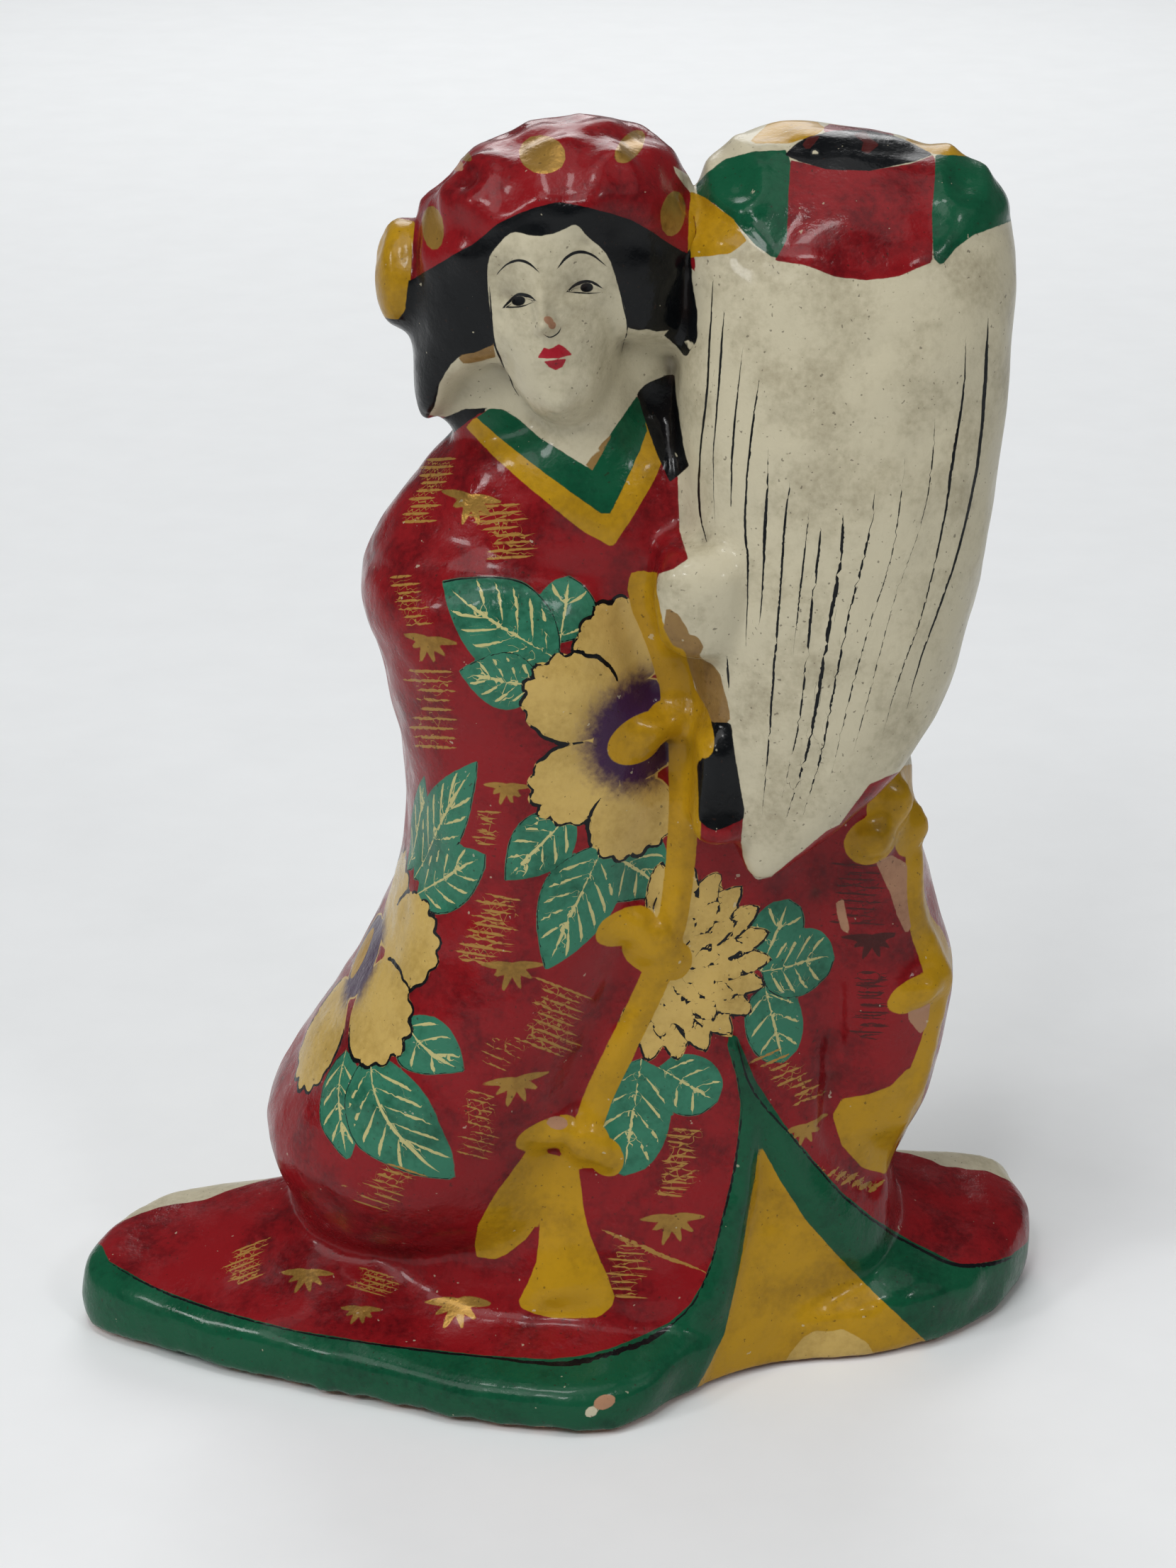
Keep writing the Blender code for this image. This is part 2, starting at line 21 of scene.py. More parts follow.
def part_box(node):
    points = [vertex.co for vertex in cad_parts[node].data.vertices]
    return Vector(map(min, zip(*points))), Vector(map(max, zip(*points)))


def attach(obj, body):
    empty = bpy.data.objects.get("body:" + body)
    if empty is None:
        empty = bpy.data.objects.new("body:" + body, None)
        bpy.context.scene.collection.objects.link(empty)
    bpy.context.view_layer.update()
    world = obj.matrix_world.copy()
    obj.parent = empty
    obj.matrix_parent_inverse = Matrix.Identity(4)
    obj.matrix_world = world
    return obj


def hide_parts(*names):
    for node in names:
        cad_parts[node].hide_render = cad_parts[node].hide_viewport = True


bl_info = {
    "name": "Painted clay lady",
    "version": (1, 0, 0),
    "blender": (4, 5, 0),
    "location": "View3D > Sidebar > Clay lady",
    "description": "Casts, paints and lacquers a clay figure around its packed solid",
    "category": "Object",
}

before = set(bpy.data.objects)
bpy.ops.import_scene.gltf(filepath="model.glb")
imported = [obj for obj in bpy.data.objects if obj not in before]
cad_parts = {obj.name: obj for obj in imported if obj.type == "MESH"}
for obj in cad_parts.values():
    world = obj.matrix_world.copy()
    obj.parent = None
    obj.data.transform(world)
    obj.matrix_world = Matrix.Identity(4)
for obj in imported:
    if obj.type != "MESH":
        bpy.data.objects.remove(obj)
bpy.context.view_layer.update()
LOW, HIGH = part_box("clay_doll")

CAST_HEIGHT = 300.44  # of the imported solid, in shares
SHARE = (HIGH.z - LOW.z) / CAST_HEIGHT
HEM = 18.0  # height of the green edge that runs round the base
CORD = 2.8  # radius of the raised cord on the near sleeve

SIDES = 112  # corners of a lofted ring
RING_STEP = 1.5  # height between the rings of a loft
ROLL_SIDES = 20  # corners round a roll of clay
HEM_MIDDLE = 0.95  # height of the hem on the middle line, as a share of HEM
HEM_SLANT = 0.006  # how much higher the hem lies for each share further back
FOOT_CUT = 0.8  # height at which the fused clay is cut flat for the underside

# The camera of the photograph, in the frame in which the clay is built up
PHOTO_WIDTH, PHOTO_HEIGHT = 1659, 2212
LENS, SENSOR = 85.0, 36.0
CAMERA_RISE = math.radians(22)
CAMERA_AWAY = 860.0
CAMERA_AIM = Vector((0, 0, 145))
CAMERA_BACK = Vector((0, -math.cos(CAMERA_RISE), math.sin(CAMERA_RISE)))
CAMERA_UP = Vector((0, math.sin(CAMERA_RISE), math.cos(CAMERA_RISE)))
CAMERA_PLACE = CAMERA_AIM + CAMERA_AWAY * CAMERA_BACK
FOCUS = LENS / SENSOR * PHOTO_HEIGHT  # focal length in pixels
PIXELS = FOCUS / CAMERA_AWAY  # pixels that one share takes up

# The hem on the floor, seen from above: x and y of the corners of a smooth closed outline
HEM_PLAN = (
    (-125, 8), (-120, -6), (-91, -23), (-52, -39), (-20, -50), (2, -52), (14, -46),
    (27, -33), (48, -22), (69, -18), (86, -10), (101, 3), (112, 24), (109, 42), (97, 50),
    (0, 42), (-94, 36), (-116, 27),
)

HEM_CENTRE = (-4, 2)
HEM_CORNER_STEPS = 12  # points of the outline from each of its corners to the next
# The levels of the hem: the height as a share of HEM, and the reach as a share of the plan
HEM_LEVELS = (
    (0, 0.975), (0.15, 0.995), (0.5, 1.0), (0.85, 0.995), (1.0, 0.97), (1.1, 0.92), (1.2, 0.84),
    (1.35, 0.74), (1.6, 0.62), (1.9, 0.5),
)

# Upright forms. Each row is a level: height, left, right, the y of the widest line, front, back
TORSO = (
    (120, -40, 60, 12, -12, 38), (150, -44, 58, 12, -15, 36), (175, -47, 50, 12, -18, 34),
    (195, -52, 46, 11, -20, 33), (205, -49, 44, 10, -21, 32), (216, -41, 40, 9, -20, 30),
    (225, -34, 34, 8, -17, 28), (232, -26, 28, 8, -12, 26), (238, -18, 22, 8, -6, 22),
)
NEAR_SLEEVE = (
    (22, -66, 8, 8, -6, 30), (30, -71, 8, 10, -17, 34), (40, -75, 4, 12, -26, 37),
    (50, -78, 0, 12, -31, 38), (58, -78, 0, 12, -33, 38), (73, -71, 4, 12, -34, 38),
    (88, -61, 8, 12, -33, 38), (103, -52, 13, 12, -32, 37), (118, -46, 18, 12, -31, 36),
    (132, -43, 21, 12, -30, 36), (147, -43, 23, 12, -30, 35), (161, -45, 23, 12, -30, 34),
    (176, -48, 20, 11, -31, 34), (190, -52, 17, 10, -30, 33), (199, -51, 14, 9, -27, 32),
    (207, -46, 9, 8, -20, 28),
)
COAT = (
    (0, -60, 70, 14, -28, 38), (20, -64, 76, 14, -30, 40), (30, -58, 77, 14, -28, 40),
    (45, -50, 74, 15, -25, 40), (62, -46, 70, 15, -23, 39), (90, -42, 66, 15, -21, 38),
    (120, -40, 64, 15, -20, 37), (150, -40, 62, 15, -19, 36),
)
FAR_SLEEVE = (
    (40, 50, 76, 18, 6, 38), (48, 48, 79, 18, -1, 39), (56, 47, 82, 17, -5, 40),
    (71, 46, 86, 16, -9, 40), (86, 46, 88, 15, -10, 40), (96, 46, 88, 15, -10, 40),
    (108, 46, 84, 15, -10, 39), (124, 44, 80, 15, -11, 38), (138, 42, 77, 14, -12, 37),
    (150, 38, 75, 13, -13, 36), (162, 34, 66, 12, -14, 35),
)
HAIRPIECE = (
    (134, 36, 42, -24, -32, -10), (142, 33, 53, -22, -34, 0), (152, 29, 66, -18, -36, 8),
    (165, 26, 76, -14, -37, 14), (180, 23, 83, -10, -38, 20), (200, 21, 88, -8, -38, 24),
    (220, 20, 91, -6, -37, 26), (240, 20, 93, -4, -35, 27), (258, 21, 94, -2, -32, 28),
    (272, 21, 94, 0, -28, 28), (281, 23, 92, 1, -22, 27), (288, 27, 87, 3, -14, 25),
    (293, 34, 78, 5, -6, 20), (296, 42, 68, 7, 0, 14),
)
NECK = (
    (224, -22, 24, 8, -12, 28), (232, -33, 24, 7, -9, 28), (238, -35, 24, 6, -9, 27),
    (246, -34, 23, 5, -10, 26), (256, -33, 23, 4, -12, 26), (266, -32, 22, 4, -14, 26),
)
THROAT = (
    (214, -16, 18, 0, -19, 20), (226, -15, 15, 0, -18, 20), (236, -13, 12, 0, -16, 20),
    (246, -12, 10, 0, -16, 20), (256, -12, 10, 0, -16, 20),
)
LEFT_LOCKS = (
    (234, -38, -34, 4, -4, 18), (238, -38.5, -31, 3, -10, 22), (245, -39, -27, 2, -14, 24),
    (250, -39, -18, 2, -17, 25), (255, -39, -2, 2, -20, 26), (262, -39, 4, 2, -22, 26),
    (276, -37, 8, 2, -25, 26),
)
RIGHT_LOCKS = (
    (251, 17, 23, 2, -8, 18), (254, 10, 24, 2, -13, 22), (257, -4, 24, 2, -18, 24),
    (262, -16, 24, 2, -21, 26), (270, -22, 24, 2, -23, 27), (280, -22, 23, 2, -25, 27),
)
CROWN = (
    (252, -33, 22, 2, -12, 25), (262, -38, 23.5, 2, -21, 28), (270, -38, 24, 2, -25, 29),
    (279, -36, 23.5, 2, -27, 29), (286, -31.5, 21, 2, -27, 27), (292, -25, 17.5, 2, -23.5, 22),
    (296, -18, 13, 1.5, -18, 17), (299, -11, 7, 1, -11, 10), (300, -7, 3, 1, -5, 5),
)
SIDE_PIN = (
    (254, -43, -34, 4, -2, 10), (258, -46, -34, 4, -6, 14), (265, -47, -34, 4, -8, 16),
    (272, -46, -34, 4, -6, 14), (276, -42, -34, 4, -2, 10),
)
# The face in a frame of its own, between the eyes
FACE = (
    (-31, -4, 4, -15, -19, -4), (-29, -7, 7, -14, -22, 0), (-24, -10.5, 10.5, -12, -25.5, 6),
    (-17, -13, 13, -9, -27.5, 12), (-8, -14.4, 14.4, -7, -28.5, 14), (2, -15, 15, -6, -28.5, 14),
    (12, -15, 15, -6, -28, 14), (20, -13, 13, -6, -26, 12), (25, -9, 9, -6, -22, 8),
)
FACE_PLACE = (-6.6, 0, 268.5)
FACE_TILT = math.radians(-8)  # the crown leans to the near sleeve
FACE_TURN = math.radians(-7)  # and the nose points a little that way
HAND = (
    (188, 19, 31, -20, -34, -8), (193, 16, 34, -20, -36, -8), (200, 14.5, 35, -20, -38, -8),
    (206, 14.5, 35, -20, -38.5, -8), (210, 15, 34.5, -20, -37, -8), (213, 17, 33, -20, -33, -10),
)
GRIP = (
    (143.5, 25, 33.5, -24, -33, -14), (146, 23, 35, -24, -37, -14), (149, 23, 34.8, -24, -36.5, -14),
    (152, 23.5, 34, -24, -35.5, -14), (160, 24, 33.4, -24, -35.5, -14), (168, 25, 32.6, -24, -35, -14),
    (171, 26.5, 31, -24, -31, -14),
)

# The forms with how full their rings are: 1 is an ellipse, and less is squarer
UPRIGHTS = (
    (COAT, 0.92), (TORSO, 0.92), (NEAR_SLEEVE, 0.86), (FAR_SLEEVE, 0.92), (HAIRPIECE, 0.8),
    (NECK, 0.92), (THROAT, 0.92), (LEFT_LOCKS, 0.92), (RIGHT_LOCKS, 0.92), (CROWN, 0.92),
    (SIDE_PIN, 0.8),
)
HELD_UPRIGHTS = ((HAND, 0.55), (GRIP, 0.6))

# Clay rolled out and laid on the front. Each row is a point: x, z, half the width
NEAR_CORD = (
    (12, 202.6, 0.5 * CORD), (12.8, 199, 0.6 * CORD), (14.4, 191, 0.65 * CORD),
    (17.6, 181, 0.7 * CORD), (20.6, 170, 0.9 * CORD), (21.7, 159, CORD), (21.8, 145, CORD),
    (21, 131, CORD), (19.2, 118, CORD), (14.8, 103, CORD), (8.6, 89, CORD), (3, 76, CORD),
    (-2.4, 60, CORD),
)
FAR_CORD = (
    (77, 128, 0.8 * CORD), (76.8, 119, 0.7 * CORD), (78.6, 110, 0.8 * CORD),
    (82, 102, CORD), (84, 94, CORD), (83, 85, 0.8 * CORD), (80.4, 74, CORD), (77.4, 65, 1.2 * CORD),
)
LEAF_TASSEL = ((-3, 61, 2), (-9, 53.5, 4.2), (-16, 46, 5), (-22, 38.5, 4), (-26, 31.5, 0.8))
BELL_TASSEL = (
    (-3, 60, 3), (-4.6, 52, 3.8), (-5.6, 43, 4.4), (-5.4, 35, 5.6), (-5, 29, 7.8), (-5, 24.5, 9.6),
)
FAR_TASSEL = ((79, 68, 3), (73, 63, 6), (70.5, 55, 6.4), (72.5, 42, 1.6))
CUFF_EDGE = (
    (15.4, 206.5, 1), (16.6, 198, 2), (18.6, 190, 2.6), (21.5, 181, 2.8), (24, 173, 2.4),
    (25.5, 168, 1),
)
HAIR_TRESS = ((15.4, 243, 3.4), (17, 236, 4), (19.4, 228, 4), (21.2, 222, 2.6))

# The rolls, with their depth as a share of their width
ROLLS = (
    (NEAR_CORD, 1.0), (FAR_CORD, 1.0), (LEAF_TASSEL, 0.5), (BELL_TASSEL, 0.5), (FAR_TASSEL, 0.3),
    (CUFF_EDGE, 0.6), (HAIR_TRESS, 0.5),
)
ROLL_SUNK = 0.3  # how far a roll sinks into the clay, as a share of its width
ROLL_LEVELLED = 3  # points on either side over which the depth of a roll is evened out
CURVE_STEPS = 6  # points of a smooth line from each of its corners to the next

# Pats of clay on the front: x, z, half the width, half the height, rise, turn in degrees
KNOTS = (
    (11.8, 165.2, 7.2, 5.4, 3.4, 14), (16.4, 169.4, 4, 2.6, 2.2, 30), (21, 167.4, 5.2, 6.2, 4.4, 0),
    (24.8, 169.6, 3.4, 5.2, 3.2, 10), (8.8, 119, 6.6, 4.6, 3.2, 6), (14.6, 113.6, 6.4, 6.6, 4.2, 0),
    (19.4, 109.6, 4.4, 5, 3.4, 20), (-9.2, 66.6, 7.2, 4.2, 3.4, 8), (-0.8, 63.2, 5.8, 6, 4.2, 0),
    (4.2, 60, 3.8, 5, 3.2, 20), (65.8, 135.6, 6.4, 5.6, 3.6, 30), (70.6, 143, 6, 6.4, 3.4, 0),
    (76, 134, 4.4, 5.6, 3.4, 0), (77.6, 95, 6.8, 4, 3.2, 22), (83.6, 95, 4, 5.2, 3.2, 0),
)

PAT_SUNK = 0.3  # as a share of its rise
PAT_DEPTH = 1.3  # as a share of its rise

# Raised and sunk fields on the front: the rise, the width of the edge, and the outline in x and z
FIELDS = (
    (1.3, 1.6, (
        (-44, 255), (-37.4, 266.6), (-28.8, 275.1), (-19.5, 282.4), (-7.4, 288.1), (3.1, 286.5),
        (13.7, 279.9), (22.3, 273.4), (24, 270), (23.5, 320), (-44, 320),
    )),
    (0.9, 1.2, (
        (43.4, 294), (42.9, 280.2), (40.1, 275.9), (46.8, 274.8), (58.8, 272.5), (67.9, 273.1),
        (73.7, 274.9), (74.1, 283.8), (75.4, 293),
    )),
    (1.5, 1.4, (
        (22, 284.5), (29, 291.5), (35.6, 294), (43.5, 295), (43, 283.9), (40.1, 276.3),
        (37.9, 278), (30.5, 283),
    )),
    (1.5, 1.4, (
        (75.4, 295), (84, 293), (90, 288), (95, 281), (83, 280.4), (78, 277.9), (74.8, 274.9),
    )),
    (1.2, 1.2, ((20, 283.5), (26, 282), (32.4, 278.2), (28, 275), (20, 273.6))),
    (-1.5, 2, (
        (40.9, 62), (39.7, 47.2), (38, 38.2), (35.5, 27.4), (32.8, 16.8), (29.5, 7.5), (25, -4),
        (87, -4), (73.6, 13.5), (64.5, 24.1), (53.8, 36.6), (45.8, 49),
    )),
    (-2, 8, (
        (41, 66), (39, 47), (36, 32), (35, 20), (48, 14), (62, 16), (64, 24), (54, 37), (46, 49),
    )),
    (0.8, 1.2, (
        (-26.7, 233.5), (-17.1, 225.7), (-4.6, 216.3), (6, 210.2), (11.8, 220.5), (16, 227.2),
        (15, 240), (11.8, 240), (8.7, 236.4), (4.7, 232.8), (0.4, 226.7), (-7.7, 231.7),
        (-14, 234), (-20.3, 238), (-25, 238),
    )),
)
# Ridges and grooves on the front: the rise, and the line as x, z and half the width
CREASES = (
    (1.6, (
        (33, 88, 1.6), (37.6, 72, 2.6), (37.6, 56, 4), (35.4, 42, 5), (31.4, 29, 6), (25.5, 18, 6.4),
        (16, 12, 6.4),
    )),
    (1.4, (
        (33.6, 87, 1.6), (40, 73, 3), (48, 55, 4.6), (57, 41, 6), (67, 29, 7), (80, 18, 7.4),
        (93, 13, 6),
    )),
    (-1.8, (
        (59, 97, 2), (58.6, 80, 3.6), (57.6, 66, 3.6), (58, 58, 3.4), (63, 50, 3.4), (70, 41, 2.4),
    )),
    (-0.9, ((-50, 200, 2), (-36, 204, 3), (-23, 204.6, 3), (-10, 203.8, 3), (10, 204.4, 2))),
)
# Round swellings and dimples: their centre, radius and rise
SWELLINGS = (
    ((-10.1, -15, 296.3), 5.5, 0.7), ((9.1, -9, 296.8), 5.5, 0.7), ((-33.6, -10, 279.3), 5.5, 0.7),
    ((18.3, -14, 283), 5.5, 0.7), ((-24.2, -14, 289.9), 11, 3), ((-24.2, -15, 290), 4.6, -4),
    ((5.6, -21, 292.6), 10, 2.8), ((5.6, -21, 292.6), 4.4, -3.8), ((-37, 0, 283), 7, 1.4),
    ((19, 0, 291), 6, 1.4), ((-22, 0, 298), 7, 1.2), ((58.5, 0, 294.5), 15, 1.4),
    ((40, 22, 293), 30, 3.4), ((33, -12, 287.6), 3, -2.2), ((80.6, -9, 288), 3, -2),
)
# The same on the face, in its own frame: x, z, half the width, half the height, rise
FACE_SWELLINGS = (
    (0, -6.4, 3, 2.8, 2.6), (0, -2, 2, 7, 2.3), (-7.3, 0.6, 5, 3.4, -0.9), (7.3, 0.6, 5, 3.4, -0.9),
    (0, -13.6, 4.6, 2.6, 1), (0, -24.5, 5.5, 4.5, 1), (-9, -9, 5, 6, 0.6), (9, -9, 5, 6, 0.6),
)

# How far the finished casting lies from where it is built up, with its foot cut off
SETTLED = Vector((6.4, 1.15, -FOOT_CUT))

# Paints in the order in which they overlap, and the brush lines with the colour of each
PAINTS = (
    "white", "red", "green", "leaf", "petal", "gold", "yellow", "black", "umber_and_shade", "tan", "bare",
    "lip",
)
# The umber brush line draws gold mist darkened as painted shade
PENS = {"ink": "black", "cream": "vein", "gilt": "gilt", "painted_shade_line": "umber_and_shade"}
# Lines of a dry brush: the grain of the clay between which they fade out
DRY = {"gilt": (0.26, 0.44), "painted_shade_line": (0.26, 0.44)}
DULL = {"white": 0.36, "bare": 0.62, "yellow": 0.3, "gold": 0.32}  # roughness of the duller ones
TINY = 1e-9  # keeps a division from failing where two points are one
FAR_OFF = 1000.0  # keeps paint off where it can't lie
DEEP = 3.0  # depth inside a coat beyond which it no longer matters, in shares
CORD_FROM = -0.3  # how far clay that isn't seen faces forward where a cord's paint still reaches it
LINE_EDGE = 0.25  # distance from a line beyond which its distances are stretched ...
LINES_APART = 8.0  # ... this many times, so that two neighbours don't meet in a third line
LINE_REACH = 0.95  # how far from a brush line its width is still known, in shares
SEEN_FROM = 0.02  # how far the clay must face the camera to be painted from the photograph
SIDE_FROM = 0.2  # how far the clay must face a side to be painted from it
SPOT_CORNERS = 14
BLADE_STEPS = 14
BLADE_WIDEST, BLADE_FULLNESS = 0.8, 0.9  # powers that set the shape of a pointed blade
LEAF_RIM = 0.14  # half the width of the dark edge of a leaf
# The midrib of a leaf: share of its length, and half the line
LEAF_RIB = ((0.0, 0.14), (0.3, 0.24), (0.6, 0.42), (0.78, 0.34), (0.92, 0.04))
# A vein: share of its run, share of its reach, and half the line
LEAF_VEIN = ((0.1, 0.12, 0.06), (0.45, 0.5, 0.3), (0.8, 0.86, 0.4), (1, 1, 0.2))
VEINS_FROM, VEINS_OVER = 0.1, 0.5  # where the first starts on the midrib and how far they spread
VEIN_RUN, VEIN_SHIFT = 0.22, 0.03  # how far along each runs, and by how much its two sides differ
VEIN_REACH = 0.82  # share of the blade's width that a vein crosses
PETAL_STEPS = 72
PETAL_BARE = PETAL_STEPS // 7  # steps at the petal's foot that have no black line
PETAL_END, PETAL_END_SPAN = 0.35, 1.35  # where the scallops start, and over how much they grow
PETAL_LINE = 0.26  # half the width of the line round a petal, which swells to twice that
PETAL_LINE_WAVE = 0.17
PETAL_SCALLOP = 0.15  # depth of the scallops, as a share of the petal's half
SCALLOPS = 7.0
DAISY_START = 0.3  # where its petals start, as a share of their reach
DAISY_WIDTH, DAISY_WIDENING = 0.6, 0.125  # half a petal's width, and its gain with the reach
DAISY_ROUNDNESS = 0.45
DAISY_LINES = (0.22, 0.34)  # half the width of the lines on a petal's two sides
DAISY_BARE = 3  # steps at its foot that have no line
# The lobes of a maple leaf: their direction in degrees, and their length
MAPLE_LOBES = ((-176, 1), (-144, 0.74), (-108, 0.95), (-72, 0.86), (-38, 0.8), (-2, 1))
MAPLE_START, MAPLE_WIDTH = 0.04, 0.1  # as shares of its reach
MIST_SEED = 7
MIST_SHORTEST = 0.62  # length of the shortest line, as a share of the band's width
MIST_SHIFT = 0.12  # how far the lines stray to either side, as a share of it
# A line of the mist: share of its length, and share of its width
MIST_LINE = ((0, 0.2), (0.12, 0.9), (0.5, 1), (0.85, 0.7), (1, 0.05))
CORD_PAINT = 1.12  # how far the yellow reaches on a cord, in half-widths
KNOT_PAINT = 1.02
STAIN_REACH = 1.7  # how far the purple fades out, in widths of the flower's heart
BACK_BORDER = 29  # depth at which the red gives way to the white of the back ...
BACK_SLANT = 0.08  # ... and how much deeper it lies for each share to the right
RAGGED = ((2.6, 14), (0.9, 4))  # how far that edge strays, and over what length
BACK_TURN, BACK_TURN_FROM, BACK_WHITE = 12, 0.86, 20  # clay that faces back is white from there
HEADPIECE_BACK = (22, 152)  # left edge and foot of the white headpiece
HEM_PAINT, HEM_BACK = 0.98, 24  # height of the green as a share of HEM, and where it ends
HEAD_BACK = (232, 24.5)  # foot and right edge of the black hair
HAIR_FADE, HAIR_DEPTH = 0.2, 60
HAIR_TAIL = (17, 212, -33, 24)  # depth, foot, left and right edge of the hair on the back
CAP_BACK, CAP_SLANT, CAP_BACK_RIGHT = 260, 0.06, 25.5  # height of the rim, its slant, its end
PIN_BACK = (-39, 252, 278)  # right edge, foot and top of the yellow pin
BARE_TURN, BARE_FROM, BARE_HEIGHT = 6, 5, 2  # clay that faces down, below that height, is bare
HOLLOW_BLURS = 4
HOLLOW_RADIUS = 5.0  # radius of a crease that counts as sharp, in shares
FINE_NEAR = 0.42  # how near a brush line or a small motif's edge the clay is made finer
FINE_STROKES = 3  # how often the finer clay is stroked smooth
# Ovals on the front that are made finer: x, z, half the width, half the height, and the depth
# in front of which they lie
FACE_OVAL = (-7, 264, 15, 22, -8)
EYES_OVAL = (-7, 262, 15, 20, -14)
FINE_PAINTS = ("gold", "umber_and_shade", "lip")
KEEP_AT_BACK = 0.08  # share of the triangles that stays where nothing fine is painted
BACK_FROM = 0.3  # how far the clay faces back there
UNDERSIDE = 1  # height below which the clay is its underside

# Patterns in the paint and lacquer: size of the lumps in millimetres, detail, and seed
BRUSH_CLOUDS = (16, 4)
GRAIN = (1.6, 3, 3.0)
WAVER = (2.2, 2, 5.0)  # of the edges of the coats
SPECKS = (1.1, 1, 7.0)
FLECKS = (2.4, 2, 9.0)
DENTS = (4.5, 3, 11.0)
STRAY = (7, 2, 13.0)  # of the brush lines
FINE_DENTS = (0.9, 2, 15.0)
PATCHES = (9, 3, 17.0)  # where the lacquer is duller
FLOOR_FIBRE = (30, 3)
FIBRE_SHADE = 0.94
# Between which values each of them, or a depth in shares, turns from nothing to all
CLOUDS_FADE = (0.3, 0.72)
BRUSH_FADE = (0.0, 0.8)
PATCHES_FADE = (0.35, 0.65)
COAT_FADE = (-0.36, -0.1)
STAIN_FADE = (0.45, 1.1)
PETAL_FADE = (0.0, 0.3)
LINE_FADE = (-0.06, 0.1)
# Painted shade in the creases: the hollowness between which it turns from nothing to all
CREASE_SHADE_FADE = (0.12, 0.9)
SPECKS_FADE = (0.71, 0.76)
FLECKS_FADE = (0.735, 0.75)
# How much each of them counts
CLOUDS_PART, GRAIN_PART = 0.55, 0.7
WAVER_PART, STRAY_PART = 0.9, 0.5
COAT_WAVER, LINE_WAVER, STAIN_GRAIN = 0.4, 0.2, 0.5
# The first is how strongly the painted shade darkens the creases
CREASE_SHADE_PART, SPECKS_PART, FLECKS_PART = 0.55, 0.55, 0.5
DENTS_GRAIN, DENTS_FINE = 0.3, 0.12
PATCHES_DULL, GRAIN_DULL, LACQUER_DULL = 0.24, 0.16, 0.05  # roughness
GOLD_METAL = 0.45
DENT_STRENGTH, DENT_DEPTH = 0.6, 0.0005
COAT_ROUGHNESS, LACQUER_IOR = 0.09, 1.21
FLOOR_ROUGHNESS = 0.8

MIX_SHARE, MIX_UNDER, MIX_OVER, MIX_RESULT = 0, 6, 7, 2  # sockets of a colour mix

FLOOR = 30.0  # half the side of the floor, in metres
WORLD_STRENGTH = 0.14
# Suns behind large screens: name, turn and rise in degrees, angle that they fill, and strength
SUNS = (
    ("screen_left", -35, 48, 30, 0.85), ("screen_right", 60, 40, 40, 0.22),
    ("screen_top", 0, 84, 45, 0.58),
)
# Windows, which the lacquer mirrors: name, turn and rise, distance, side, and share of the power
WINDOWS = (
    ("window_left", -58, 30, 1.5, 0.22, 1.0), ("window_front", -14, 42, 1.6, 0.2, 0.9),
    ("window_right", 38, 36, 1.7, 0.2, 0.7), ("window_top", -30, 74, 1.4, 0.22, 0.7),
    ("backdrop", 180, 30, 2.2, 1.2, 3.7),
)
SUN_AWAY = 2.0  # metres
SKY = "e4e6ea"  # the plain light of the room

# Raised rings on the front: the middle's x and z, the radius, half the ring's width, the rise
RINGS = (
    (33, 288.2, 5, 2, 2), (80.6, 288.2, 5, 2, 1.6), (22, 168, 3, 1.4, 0.9),
    (16.4, 114.6, 3.2, 1.5, 1), (-9, 66.8, 3, 1.3, 0.9), (0.6, 63.8, 3, 1.4, 0.9),
    (65.6, 136, 3.2, 1.4, 0.9), (78.4, 95.4, 3, 1.2, 0.8), (9.4, 119.4, 3, 1.3, 0.8),
)

# Unevenness of the pressed clay: how far apart the lumps are and how far they rise
LUMPS = ((15, 0.8), (6.5, 0.42))
CAP_LUMPS = (7.5, 2.7)
LUMPS_START = Vector((3.1, 5.7, 1.3))

# Where the finer relief lies
FRONT_FROM, FRONT_FADE = 0.25, 0.35  # how far the clay faces back where the front's relief ends
CAP_RIM = 266  # height of the cap's rim at its sides
CAP_MIDDLE = -8
CAP_PEAK, CAP_PEAK_SLOPE = 18, 0.9  # half the width of the rim's rise in the middle, its slope
CAP_FADE = 8
CAP_RIGHT = 24
FACE_FRONT = -12  # depth in the face's own frame in front of which its relief lies

